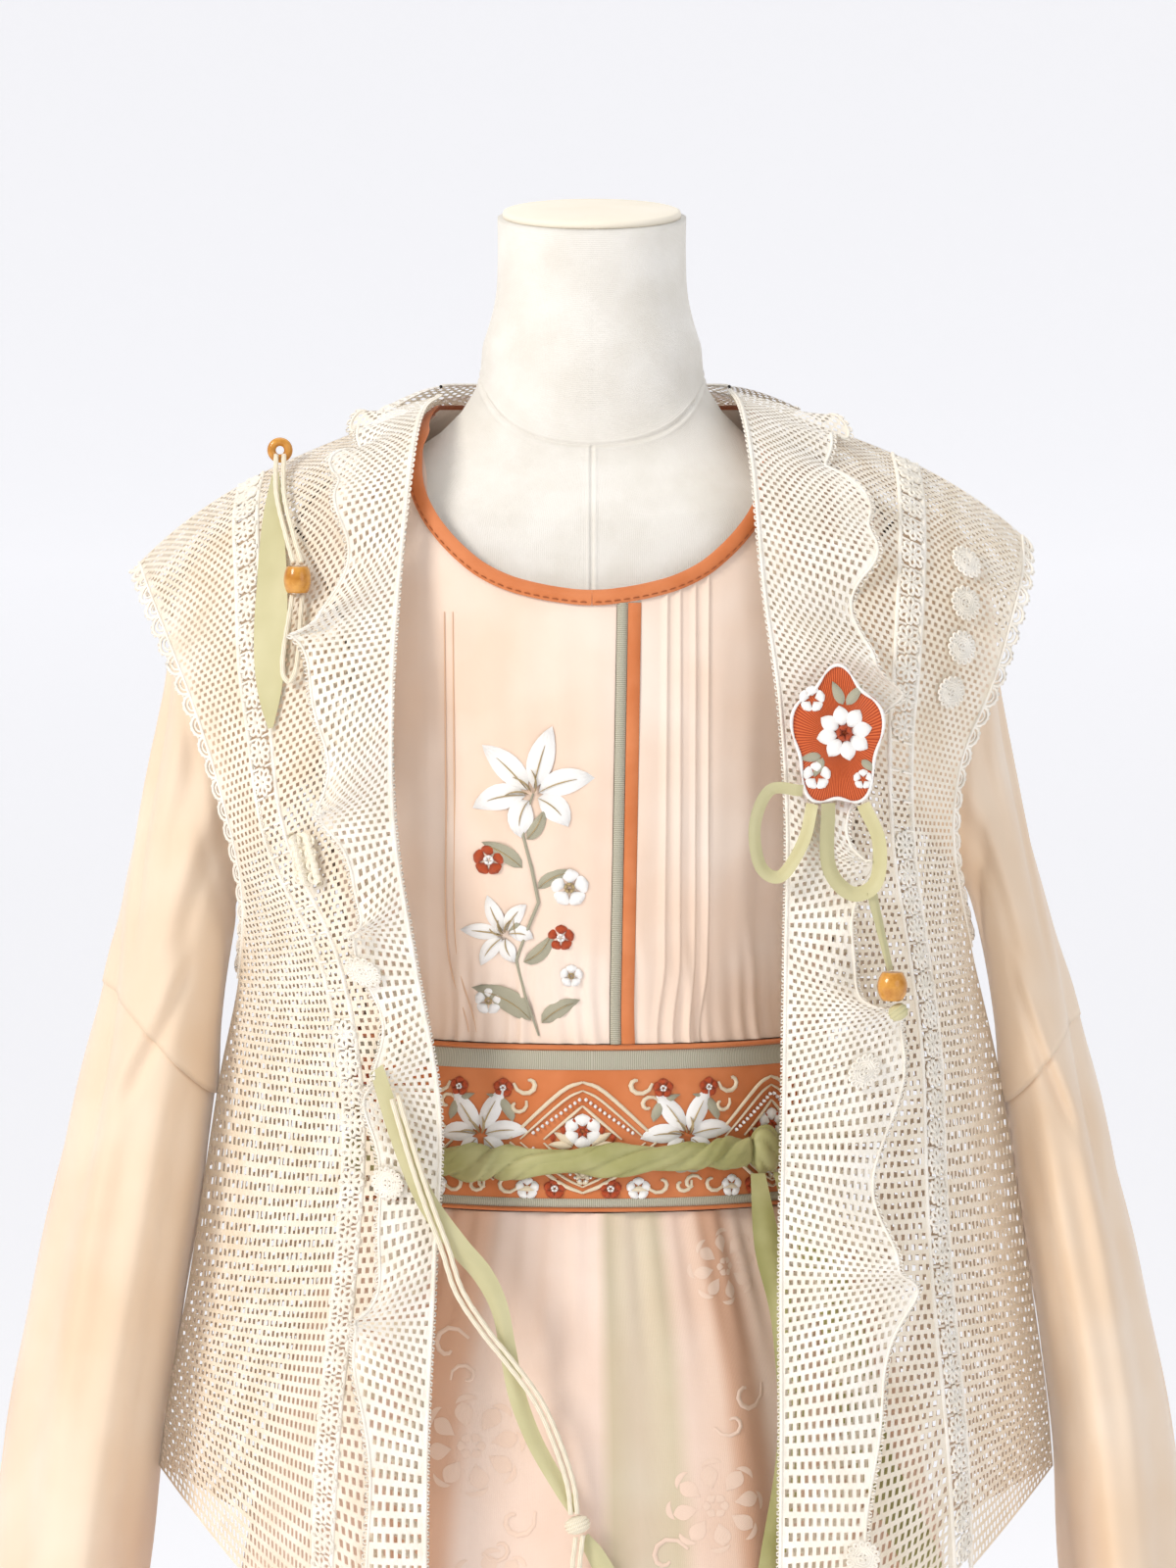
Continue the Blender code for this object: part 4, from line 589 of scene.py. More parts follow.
def bodice_front(name, side, first, look, lift):
    """A front between the placket and the side: rows run from the neckline to the waist."""
    chest = np.concatenate([np.linspace(first, 0.10, 110), np.linspace(0.10, CHEST_WIDTH, 30)[1:]])
    test = np.linspace(1.29, 1.41, 600)[:, None]
    tops = test[np.argmax(test >= neckline_height(front_angle(chest[None], test)), axis=0), 0]
    tops = np.convolve(np.pad(tops, 4, mode="edge"), np.ones(9) / 9, "valid")
    rows = np.linspace(0, 1, 120)[:, None]
    height = tops + rows * (WAIST_TOP + 0.0005 - tops)
    chest = chest + 0 * height
    shift = side * (placket_line(height) - PLACKET_TOP) * (1 - smooth(0.030, 0.055, chest))
    angle = front_angle(chest + shift, height)
    grid = bodice_point(side * angle, height, SILK_WALL + lift(chest, height))
    hole = ((math.pi / 2 - angle) / ARMHOLE_TURN) ** 2 + ((height - ARMHOLE_MIDDLE) / ARMHOLE_HALF) ** 2 < 1
    return cloth(name, grid, look, ~hole[:-1, :-1]), grid


bodice_r, bodice_r_grid = bodice_front(
    "bodice_front_r", -1, -0.0146, peach_silk, lambda c, z: silk_waves(c, z, 1.3)
)
bodice_l, bodice_l_grid = bodice_front(
    "bodice_front_l", 1, 0.0290, peach_silk, lambda c, z: silk_waves(c, z, 4.1) + tuck_height(c, z)
)
turn, rows = np.meshgrid(np.linspace(math.pi / 2, 3 * math.pi / 2, 120), np.linspace(0, 1, 110))
tops = neckline_height(turn)
height = tops + rows * (WAIST_TOP + 0.0005 - tops)
back_grid = bodice_point(turn, height, SILK_WALL + silk_waves(turn * 0.15, height, 2.2))
beside = (np.minimum(turn - math.pi / 2, 3 * math.pi / 2 - turn) / ARMHOLE_TURN) ** 2
hole = beside + ((height - ARMHOLE_MIDDLE) / ARMHOLE_HALF) ** 2 < 1
bodice_back = cloth("bodice_back", back_grid, peach_silk, ~hole[:-1, :-1])


def cut_of(grid):
    """What was cut to make the cloth: its longest width and length, and its area, all along the cloth."""
    across = np.linalg.norm(np.diff(grid, axis=1), axis=-1)
    down = np.linalg.norm(np.diff(grid, axis=0), axis=-1)
    a, b = grid[1:, 1:] - grid[:-1, :-1], grid[1:, :-1] - grid[:-1, 1:]
    area = float(np.linalg.norm(np.cross(a, b), axis=-1).sum() / 2)
    width, length = float(across.sum(axis=1).max()), float(down.sum(axis=0).max())
    return (round(width, 4), round(length, 4)), area


NARROWEST_SHEET = 0.0101   # a strip narrower than this is a trim, not a sheet


def sewn(made, grid, slot, nodes):
    """Hides the solids that a piece of cloth takes the place of, and prints the size of its cut."""
    declared(made, slot, *nodes)
    flat, area = cut_of(grid)
    if flat[0] >= NARROWEST_SHEET:
        area = min(area, 0.999 * flat[0] * flat[1])
    print(made.name, "cut", flat, "area", round(area, 4))


sewn(bodice_r, bodice_r_grid, "peach_silk", ["bodice_front_r"])
sewn(bodice_l, bodice_l_grid, "peach_silk", ["bodice_front_l"])
sewn(bodice_back, back_grid, "peach_silk", ["bodice_back"])


# %% Rolled bindings
def rolled(name, left, right, out, bulge, look, rows=9):
    """A strip between two lines, crowned across its width like a folded binding, with its edges turned in."""
    share = np.linspace(0, 1, rows)[None, :, None]
    crown = bulge * np.clip(np.sin(math.pi * share[..., 0]), 0, 1) ** 0.7
    grid = left[:, None] * (1 - share) + right[:, None] * share + unit(out)[:, None] * crown[..., None]
    return cloth(name, grid, look), grid


height = np.linspace(1.2960, WAIST_TOP + SEAM, 160)
for name, left, right, bulge, look, slot in (
    ("placket_piping", -0.0056, 0.0004, 0.0016, band_thread, "grey_green_stitch"),
    ("placket_binding", 0.0007, 0.0083, 0.0011, orange_silk, "orange_silk"),
):
    edges = []
    for step in (left, right):
        angle = np.arcsin((placket_line(height) + step) / (figure(height)[0] + BODICE_EASE))
        edges.append(bodice_point(angle, height, SILK_WALL + 0.0007))
    strip, strip_grid = rolled(name, *edges, edges[0] * (1, 1, 0), bulge, look)
    sewn(strip, strip_grid, slot, [name])

turn = np.linspace(0, 2 * math.pi, 361)
edge = round_figure(turn, neckline_height(turn), BODICE_EASE)
along = unit(np.gradient(edge, axis=0))
down = unit(round_figure(turn, neckline_height(turn) - 0.002, BODICE_EASE) - edge)
down = unit(down - along * np.sum(down * along, axis=-1, keepdims=True))
face = unit(np.cross(along, down))
face *= np.sign(
    np.sum(face * np.stack([np.sin(turn), -np.cos(turn), 0.6 + 0 * turn], axis=-1), axis=-1, keepdims=True)
)
raised = edge + face * (SILK_WALL + 6 * SEAM)
binding, binding_grid = rolled(
    "neck_binding", raised - down * 0.0010, raised + down * 0.0082, face, 0.0016, orange_silk, 13
)
sewn(binding, binding_grid, "orange_silk", ["neck_binding"])
line = raised + down * 0.0066 + face * 0.0011
places = steps_along(line)
starts = np.arange(0.002, places[-1] - 0.004, 0.0056)
stitch = np.linspace(0, 0.0034, 4)
paths = np.stack([np.interp(starts[:, None] + stitch, places, line[:, k]) for k in range(3)], axis=-1)
lifts = np.stack([np.interp(starts[:, None] + stitch, places, face[:, k]) for k in range(3)], axis=-1)
paths += lifts * (0.0005 * np.sin(math.pi * stitch / stitch[-1]))[None, :, None]
running = many("neck_running_stitch", np.array([tube(path, 0.00035, 5) for path in paths]), orange_thread)
declared(running, "orange_silk")
print("bodice with", len(starts), "running stitches")

# %% [markdown]
# ## Sleeves
# Each sleeve is a tube of soft silk in two lengths, sewn together at the elbow. The weight of the wide cuff
# pulls long creases down it. They are listed as lines on the unrolled tube, each pressed in with a
# bell-shaped profile and a softer ridge beside it.

# %% Sleeve surfaces
# Outer x and z, inner x and z, half depth, bend round the shoulder
SLEEVE_R = np.array([
    (0.1804, 1.338, 0.1634, 1.191, 0.055, 0.026), (0.2140, 1.333, 0.1800, 1.172, 0.050, 0.006),
    (0.2430, 1.300, 0.2010, 1.140, 0.047, 0.000), (0.2530, 1.238, 0.2120, 1.115, 0.048, 0.000),
    (0.2710, 1.152, 0.2155, 1.092, 0.052, 0.000), (0.2870, 1.066, 0.2270, 1.000, 0.064, 0.000),
    (0.3170, 0.947, 0.2405, 0.915, 0.082, 0.000), (0.3410, 0.830, 0.2560, 0.812, 0.096, 0.000),
    (0.3590, 0.720, 0.2690, 0.710, 0.108, 0.000), (0.3810, 0.600, 0.2820, 0.600, 0.118, 0.000),
])
SLEEVE_L = np.array([
    (0.1799, 1.338, 0.1629, 1.191, 0.055, 0.026), (0.2060, 1.340, 0.1810, 1.175, 0.050, 0.006),
    (0.2340, 1.306, 0.2030, 1.148, 0.045, 0.000), (0.2420, 1.238, 0.2180, 1.128, 0.046, 0.000),
    (0.2600, 1.150, 0.2310, 1.100, 0.050, 0.000), (0.2870, 1.046, 0.2480, 0.995, 0.062, 0.000),
    (0.3150, 0.935, 0.2630, 0.905, 0.080, 0.000), (0.3380, 0.830, 0.2768, 0.812, 0.094, 0.000),
    (0.3570, 0.720, 0.2838, 0.710, 0.106, 0.000), (0.3800, 0.600, 0.2900, 0.600, 0.118, 0.000),
])
ELBOW = 5
# Creases: start and end as share of a turn and share of the way down, width and depth in metres
SLEEVE_CREASES = (
    (0.95, 0.05, 0.84, 0.30, 0.017, 0.0030), (0.74, 0.08, 0.80, 0.40, 0.019, 0.0034),
    (0.62, 0.20, 0.72, 0.47, 0.016, 0.0030), (0.97, 0.28, 0.88, 0.50, 0.013, 0.0030),
    (0.70, 0.50, 0.80, 0.60, 0.011, 0.0034), (0.94, 0.53, 0.86, 0.66, 0.013, 0.0032),
    (0.90, 0.60, 0.83, 0.98, 0.024, 0.0052), (0.76, 0.62, 0.73, 0.99, 0.022, 0.0048),
    (0.64, 0.60, 0.60, 0.99, 0.020, 0.0044), (0.98, 0.66, 0.99, 0.99, 0.017, 0.0036),
    (0.10, 0.10, 0.14, 0.45, 0.018, 0.0032), (0.28, 0.18, 0.24, 0.50, 0.017, 0.0030),
    (0.14, 0.56, 0.11, 0.99, 0.024, 0.0045), (0.28, 0.57, 0.30, 0.98, 0.022, 0.0046),
    (0.43, 0.60, 0.46, 0.98, 0.018, 0.0036),
)


def pressed(across, down, creases, wrap=None):
    """Sum of creases: each is minus a bell of the distance to its line, plus a ridge a little to one side."""
    height = np.zeros(np.broadcast(across, down).shape)
    for x0, y0, x1, y1, width, depth in creases:
        along = np.clip((down - y0) / (y1 - y0), -0.3, 1.3)
        ends = smooth(-0.25, 0.12, along) * smooth(1.25, 0.88, along)
        offset = across - (x0 + (x1 - x0) * along)
        if wrap:
            offset = (offset + wrap / 2) % wrap - wrap / 2
        t = offset / width
        height += depth * ends * (-np.exp(-t * t) + 0.8 * np.exp(-((t - 1.5) ** 2)))
    return height


def sleeve(rings, side, first, last, count):
    """An ellipse between an outer and an inner point at each share of the way, with creases pressed in."""
    share = np.linspace(first, last, count) / (len(rings) - 1)
    turn = np.linspace(0, 2 * math.pi, 109)[None]
    table = even(rings, share)[:, :, None]
    outer_x, outer_z, inner_x, inner_z, depth, bend = (table[:, k] for k in range(6))
    fall = np.clip((1.15 - outer_z) / 0.5, 0, 1)
    ripple = 0.07 * np.cos(4 * turn + 0.6) + 0.03 * np.cos(7 * turn)
    wave = fall * ripple * np.clip((1 + np.cos(turn)) / 0.7, 0, 1)
    reach = np.cos(turn) * (1 + wave)
    half = np.hypot(outer_x - inner_x, outer_z - inner_z) / 2
    girth = math.pi * (half + depth)
    creases = [(x0 * 0.55, y0, x1 * 0.55, y1, w, d) for x0, y0, x1, y1, w, d in SLEEVE_CREASES]
    press = pressed((turn / (2 * math.pi)) * 0.55, share[:, None], creases, 0.55)
    press += 0.0008 * np.sin(turn * 3 + share[:, None] * 17) * np.sin(share[:, None] * 41 + turn * 2)
    x = (outer_x + inner_x) / 2 + (outer_x - inner_x) / 2 * reach - bend * np.sin(turn) ** 2
    z = (outer_z + inner_z) / 2 + (outer_z - inner_z) / 2 * reach
    y = depth * np.sin(turn) * (1 + wave)
    grid = np.stack([side * x, y, z], axis=-1)
    middle = grid.mean(axis=1, keepdims=True)
    press *= smooth(0, 0.25, share[:, None] * 9) * np.clip(girth / 0.3, 0.5, 1)
    out = unit((grid - middle) * (1, 1, 0.35))
    return grid + out * (SILK_WALL + press)[..., None]


for name, side, rings in (("r", -1, SLEEVE_R), ("l", 1, SLEEVE_L)):
    upper = sleeve(rings, side, 0, ELBOW, 110)
    lower = sleeve(rings, side, ELBOW, 9, 90)
    tuck = np.linspace(0, 0.004, 3)[:, None, None]
    middle = upper[-1:].mean(axis=1, keepdims=True)
    flare = smooth(-9, 0, np.arange(len(upper)) - len(upper) + 1)[:, None, None]
    upper = upper + unit((upper - middle) * (1, 1, 0.2)) * 0.0018 * flare + flare * (0, 0, -0.0030)
    turned_in = upper[-1:] + unit(middle - upper[-1:]) * tuck
    upper = np.concatenate([upper, turned_in])
    inward = unit(lower[-1:].mean(axis=1, keepdims=True) - lower[-1:])
    hem = lower[-1:] + inward * np.array([0.0006, 0.0012, 0.0006])[:, None, None]
    hem[1:, :, 2] += np.array([[0.002], [0.020]])
    lower = np.concatenate([lower, hem])
    for part, grid in (("upper", upper), ("lower", lower)):
        made = cloth("sleeve_" + part + "_" + name, grid, warm_silk)
        sewn(made, grid, "warm_silk", ["sleeve_" + part + "_" + name])
print("sleeves with", len(SLEEVE_CREASES), "creases each")

# %% [markdown]
# ## Embroidery
# Embroidered flowers are built from small domed patches of satin stitch. One patch is a leaf shape with two
# parameters: along it, and across it. The patches are worked out flat and then laid on whatever surface
# carries them, so that the same blossom fits the bodice, the waistband, the skirt and the brooch.


# %% Petals, stems and blossoms
def petal(x, y, turn, length, width, lift=0.0010, point=0.75, bend=0.0, rows=9, columns=5):
    """A leaf shape: half width is sin(pi s) to a power, its height a dome, and its middle line bends."""
    s, t = np.meshgrid(np.linspace(0, 1, rows), np.linspace(-1, 1, columns), indexing="ij")
    half = width / 2 * np.clip(np.sin(math.pi * s ** point), 0, 1) ** 0.8
    way = turn + bend * s
    u, v = np.cumsum(np.cos(way), axis=0) * length / rows, np.cumsum(np.sin(way), axis=0) * length / rows
    dome = lift * (0.15 + np.sqrt(np.clip(1 - t * t, 0, 1)) * np.sin(math.pi * s) ** 0.4)
    return np.stack([x + u - t * half * np.sin(way), y + v + t * half * np.cos(way), dome], axis=-1)


def blossom(x, y, radius, petals=5, width=0.74, turn=0.3, core=0.12, lift=0.0013, point=1.35):
    """Petals evenly round a middle."""
    angles = turn + np.arange(petals) * 2 * math.pi / petals
    size = radius * (1 - core)
    wide = 2 * math.pi * radius * width / petals
    return [
        petal(x + math.cos(a) * radius * core, y + math.sin(a) * radius * core, a, size, wide, lift, point)
        for a in angles
    ]


def lily(x, y, turn, size, hand=1):
    """A lily: six petals that curl away from its mouth, each with a line of gold, and curled stamens."""
    heads, lines = [], []
    for a, reach, bend in (
        (-2.0, 0.66, -0.9), (-1.15, 0.90, -0.6), (-0.35, 1.0, -0.2), (0.45, 0.98, 0.3), (1.25, 0.85, 0.7),
        (2.2, 0.62, 1.0)
    ):
        heads.append(petal(x, y, turn + hand * a, size * reach, size * 0.36, 0.0015, 0.85, hand * bend))
        lines.append(petal(x, y, turn + hand * a, size * reach * 0.8, 0.0012, 0.0024, 1.0, hand * bend * 0.8))
    for a in (-0.7, 0.05, 0.8):
        lines.append(petal(x, y, turn + hand * a, size * 0.42, 0.0011, 0.0032, 1.0, hand * 1.2))
    return heads, lines


def curl(x, y, radius, start, hand, width=0.0024, sweep=4.6):
    """A scroll: a stitched line along a spiral that shrinks as it turns."""
    a = np.linspace(0, sweep, 9)
    r = radius * (1 - 0.78 * a / sweep)
    return stem(
        np.stack([x + r * np.cos(start + hand * a), y + r * np.sin(start + hand * a)], axis=-1), width,
        0.0012
    )


def stem(points, width, lift=0.0008, count=9):
    """A stitched line: a narrow crowned strip along a curve through a few points."""
    path = even(np.array(points, float), np.linspace(0, 1, count))
    along = unit(np.gradient(path, axis=0))
    side = np.stack([-along[:, 1], along[:, 0]], axis=-1)
    t = np.linspace(-1, 1, 5)
    taper = np.sin(np.linspace(0.25, math.pi - 0.25, count)) ** 0.4
    flat = path[:, None] + side[:, None] * (t[:, None] * width / 2) * taper[:, None, None]
    dome = lift * (0.15 + np.sqrt(1 - t * t)) * taper[:, None]
    return np.concatenate([flat, dome[..., None]], axis=-1)


def embroider(name, motifs, surface, look, slot):
    """Lays flat motifs on a surface: a function of place that gives points and the way out of the cloth."""
    flat = np.array(motifs)
    points, out = surface(flat[..., 0], flat[..., 1])
    made = many(name, points + out * flat[..., 2:3], look)
    declared(made, slot)
    return made


def on_bodice(x, z):
    """Points of the bodice's front at a place seen from the front."""
    angle = np.arcsin(np.clip(x / (figure(z)[0] + BODICE_EASE), -1, 1))
    points = bodice_point(angle, z, SILK_WALL + 0.0004)
    return points, unit(np.stack([np.sin(angle), -np.cos(angle) * 1.3, 0 * z], axis=-1))


# %% Bodice embroidery
# A generic spray: a stem that climbs in two bends, with two lilies, blossoms and pairs of leaves
white, red, green, gold = [], [], [], []
green.append(
    stem(
        [(-0.030, 1.040), (-0.044, 1.085), (-0.031, 1.120), (-0.040, 1.160), (-0.034, 1.185)], 0.0020,
        0.0009
    )
)
for x, z, turn, size, hand in ((-0.0345, 1.1830, 1.75, 0.043, 1), (-0.0500, 1.1000, 2.6, 0.027, -1)):
    heads, lines = lily(x, z, turn, size, hand)
    white += heads
    gold += lines
for x, z, radius in ((-0.0130, 1.1290, 0.0115), (-0.0600, 1.0600, 0.0085), (-0.0120, 1.0760, 0.0070)):
    white += blossom(x, z, radius)
    gold += blossom(x, z, radius * 0.30, 5)
for x, z, radius in ((-0.0600, 1.1450, 0.0095), (-0.0180, 1.0990, 0.0080)):
    red += blossom(x, z, radius)
    white += blossom(x, z, radius * 0.34, 5)
for x, z, turn, length, width, bend in (
    (-0.0430, 1.0830, 0.3, 0.030, 0.0090, 0.9), (-0.0320, 1.0450, 2.2, 0.046, 0.0135, 0.8),
    (-0.0310, 1.0450, 0.9, 0.030, 0.0100, -0.6), (-0.0330, 1.1260, 0.9, 0.026, 0.0080, -0.7),
    (-0.0380, 1.1380, 2.3, 0.032, 0.0095, 0.5), (-0.0400, 1.1560, 0.7, 0.024, 0.0080, 0.6),
    (-0.0420, 1.0950, 2.0, 0.022, 0.0070, -0.6),
):
    green.append(petal(x, z, turn, length, width, 0.0011, 0.75, bend))
    gold.append(petal(x, z, turn, length * 0.92, 0.0010, 0.0017, 1.0, bend))
for name, motifs, look, slot in (
    ("bodice_white_embroidery", white, white_thread, "white_thread"),
    ("bodice_red_embroidery", red, red_thread, "rust_felt"),
    ("bodice_leaf_embroidery", green, sage_thread, "grey_green_stitch"),
    ("bodice_gold_embroidery", gold, gold_thread, "cream_cord"),
):
    embroider(name, motifs, on_bodice, look, slot)
lines = []
for first, last in ((-0.0860, -0.0700), (-0.0810, -0.0655)):
    places = [(first, 1.290), (first + 0.001, 1.18), (first + 0.002, 1.09), (last, 1.041)]
    lines.append(stem(places, 0.0009, 0.0004, 90))
embroider("bodice_seam_stitching", lines, on_bodice, peach_thread, "peach_silk")
print("bodice embroidery:", len(white) + len(red) + len(green) + len(gold), "patches")

# %% [markdown]
# ## Waistband and sash
# The waistband is a stiff embroidered strip between rolled edges. The sash is a length of satin wrung into
# a rope: its outline has two lobes that turn as it goes round, so the folds run at a slant.

# %% Waistband
WAIST_SIDES = 180
turn = np.linspace(0, 2 * math.pi, WAIST_SIDES + 1)
rows = [waist_ring(height + 0 * turn, 0.0016, turn) for height in np.linspace(WAIST_TOP, WAIST_BOTTOM, 24)]
band_grid = np.array(rows)
band = cloth("waistband", band_grid, orange_silk)
sewn(band, band_grid, "orange_silk", ["waistband"])
for name, top, tall, bulge, look, slot in (
    ("waist_piping_top", WAIST_TOP - 0.0003, 0.0028, 0.0019, orange_silk, "orange_silk"),
    ("waist_trim_top", WAIST_TOP - 0.0034, 0.0114, 0.0010, band_thread, "grey_green_stitch"),
    ("waist_trim_low", WAIST_BOTTOM + 0.0079, 0.0052, 0.0010, band_thread, "grey_green_stitch"),
    ("waist_piping_low", WAIST_BOTTOM + 0.0025, 0.0024, 0.0019, orange_silk, "orange_silk"),
):
    edges = [waist_ring(height + 0 * turn, 0.0020, turn) for height in (top, top - tall)]
    strip, strip_grid = rolled(name, *edges, edges[0] * (1, 1, 0), bulge, look)
    sewn(strip, strip_grid, slot, [name])


def on_waistband(s, z):
    """Points of the waistband: s runs round it in metres from the centre front."""
    angle = s / 0.128
    points = waist_ring(z, 0.0020, angle)
    return points, unit(np.stack([np.sin(angle), -np.cos(angle) * 1.2, 0 * z], axis=-1))


# Lozenges of cord and pearls, with a lily, leaves and scrolls between two of them
REPEATS, AROUND, FIRST = 7, 2 * math.pi * 0.128, -0.005
white, red, green, gold, ivory = [], [], [], [], []
for number in range(REPEATS):
    s = FIRST + number * AROUND / REPEATS
    for half, top, foot, width in (
        (0.0400, 1.0130, 0.9475, 0.0024), (0.0340, 1.0080, 0.9510, 0.0016), (0.0210, 0.9990, 0.9560, 0.0018)
    ):
        for side in (-1, 1):
            ivory.append(
                stem(
                    [(s, top), (s + side * half * 0.30, top - 0.006), (s + side * half, 0.9790)], width,
                    0.0012
                )
            )
            ivory.append(
                stem(
                    [(s, foot), (s + side * half * 0.35, foot + 0.007), (s + side * half, 0.9770)], width,
                    0.0012
                )
            )
    for side in (-1, 1):
        for share in np.linspace(0.06, 0.94, 11):
            white.append(
                petal(
                    s + side * 0.0285 * share - 0.0012, 1.0040 - 0.0225 * share, 0, 0.0024, 0.0024, 0.0021,
                    1.0
                )
            )
            white.append(
                petal(
                    s + side * 0.0285 * share - 0.0010, 0.9535 + 0.0215 * share, 0, 0.0020, 0.0020, 0.0019,
                    1.0
                )
            )
        for share in (0.25, 0.55, 0.85):
            red.append(
                petal(
                    s + side * 0.0190 * share, 0.9960 - 0.0150 * share, -math.pi / 2, 0.0060, 0.0032, 0.0010
                )
            )
        ivory += [
            petal(
                s + side * 0.004, 0.9740, math.pi / 2 - side * a, 0.0150, 0.0048, 0.0013, 0.8, -side * 0.4
            )
            for a in (0.7, 1.25)
        ]
        green += [
            petal(
                s + side * 0.0380, 0.9860, math.pi / 2 - side * 0.1, 0.0270, 0.0062, 0.0010, 0.75,
                -side * 1.2
            )
        ]
        green += [petal(s + side * 0.0480, 0.9600, side * 0.2 + (side < 0) * math.pi, 0.0150, 0.0052, 0.0010)]
        ivory += [
            curl(s + side * 0.0300, 1.0120, 0.0080, math.pi * (side < 0), -side, 0.0028),
            curl(s + side * 0.0360, 0.9990, 0.0060, 0.5, side)
        ]
        ivory += [
            curl(s + side * 0.0420, 0.9530, 0.0075, math.pi * (side > 0), side),
            curl(s + side * 0.0545, 0.9520, 0.0060, 0.4, -side)
        ]
        ivory += [
            petal(
                s + side * 0.0250, 0.9480, side * 0.5 + (side < 0) * math.pi, 0.0110, 0.0036, 0.0011, 0.8,
                -side * 0.9
            )
        ]
        red += blossom(s + side * 0.0440, 1.0090, 0.0060)
        white += blossom(s + side * 0.0440, 1.0090, 0.0021, 5)
        red += blossom(s + side * 0.0150, 0.9500, 0.0062)
        white += blossom(s + side * 0.0150, 0.9500, 0.0022, 5)
        white += blossom(s + side * 0.0300, 0.9500, 0.0068)
    heads, lines = lily(s + AROUND / REPEATS / 2, 0.9800, math.pi / 2, 0.0320, 1 - 2 * (number % 2))
    white += heads
    gold += lines
    white += blossom(s, 0.9840, 0.0105, 6, 0.8, math.pi / 6)
    red += blossom(s, 0.9840, 0.0034, 5)
    ivory += blossom(s, 0.9560, 0.0040, 5)
for name, motifs, look, slot in (
    ("waist_white_embroidery", white, white_thread, "white_thread"),
    ("waist_red_embroidery", red, red_thread, "rust_felt"),
    ("waist_leaf_embroidery", green, sage_thread, "grey_green_stitch"),
    ("waist_gold_embroidery", gold, gold_thread, "cream_cord"),
    ("waist_ivory_embroidery", ivory, ivory_thread, "cream_cord"),
):
    embroider(name, motifs, on_waistband, look, slot)
print("waistband embroidery:", len(white) + len(red) + len(green) + len(gold) + len(ivory), "patches")

# %% Sash
SASH_HEIGHT, SASH_SLOPE, SASH_HALF_TALL, SASH_HALF_DEEP = 0.967, 0.005, 0.0095, 0.0050
KNOT_TURN = math.radians(44)
UP = np.array([0, 0, 1.0])


def sash_path(turn):
    """The sash's middle line: an ellipse outside the waistband, a little higher at the wearer's left."""
    out = 0.0016 + 0.0024 + SASH_HALF_DEEP
    x, y = (WAIST_HALF_WIDTH + out) * np.sin(turn), -(WAIST_HALF_DEPTH + out) * np.cos(turn)
    return np.stack([x, y, SASH_HEIGHT + SASH_SLOPE * np.sin(turn)], axis=-1)


clear = math.radians(5)
turn = np.linspace(KNOT_TURN + clear, KNOT_TURN + 2 * math.pi - clear, 440)
path = sash_path(turn)
out = unit(np.cross(unit(np.gradient(path, axis=0)), UP))
round_it = np.linspace(0, 2 * math.pi, 37)
reach = steps_along(path)[:, None]
twist = reach * 2 * math.pi / 0.080 + 0.9 * np.sin(reach * 41) + 0.4 * np.sin(reach * 97 + 1)
lobes = 0.60 + 0.46 * np.abs(np.cos(round_it - twist)) ** 0.7 + 0.05 * np.sin(
    5 * (round_it - twist) + 1.5 * np.sin(reach * 60)
)
lobes -= 0.20 * np.exp(-(np.sin(2 * (round_it - twist) + 0.7 * np.sin(reach * 53)) / 0.20) ** 2)
swell = 1 + 0.10 * np.sin(reach * 73) + 0.07 * np.sin(reach * 31 + 1)
ring = (lobes * swell)[..., None]
grid = path[:, None] + ring * (
    SASH_HALF_DEEP * np.cos(round_it)[:, None] * out[:, None]
    + SASH_HALF_TALL * np.sin(round_it)[:, None] * UP
)
grid = np.concatenate([path[:1, None] + 0 * grid[:1], grid, path[-1:, None] + 0 * grid[-1:]])
sash = cloth("sash_wrap", grid, sage_satin)
declared(sash, "sage_satin", "sash_wrap")

middle = sash_path(np.array([KNOT_TURN]))[0] + (0.0006, -0.0012, 0)
along = np.array([math.cos(KNOT_TURN), math.sin(KNOT_TURN), 0])
out = np.array([math.sin(KNOT_TURN), -math.cos(KNOT_TURN), 0])
s = np.linspace(-1, 1, 44)[:, None]
body = np.clip(1 - np.abs(s) ** 2.4, 0, 1) ** 0.5
pleat = 0.88 + 0.24 * np.abs(np.sin(2.5 * round_it + 2.4 * s)) ** 0.7
size = (body * pleat)[..., None]
grid = middle + along * (s * 0.0105)[..., None] + size * (
    0.0075 * np.cos(round_it)[:, None] * out + 0.0135 * np.sin(round_it)[:, None] * UP
)
knot = cloth("sash_knot", grid, sage_satin)
declared(knot, "sage_satin", "sash_knot")


def ribbon(name, places, widths, across, look, folds=0.0, phase=0.0, rows=90, columns=13):
    """A ribbon along a curve, with a soft fold across it that wanders as the ribbon hangs."""
    share = np.linspace(0, 1, rows)
    path, width = even(np.array(places, float), share), even(np.array(widths, float), share)
    across = unit(even(np.array(across, float), share))
    out = unit(np.cross(unit(np.gradient(path, axis=0)), across))
    t = np.linspace(-1, 1, columns)[None]
    wave = folds * np.sin(2.6 * t + phase + 2.2 * share[:, None]) * smooth(0, 0.2, share)[:, None]
    grid = path[:, None] + across[:, None] * (
        t * width[:, None] / 2
    )[..., None] + out[:, None] * wave[..., None]
    return cloth(name, grid, look), grid


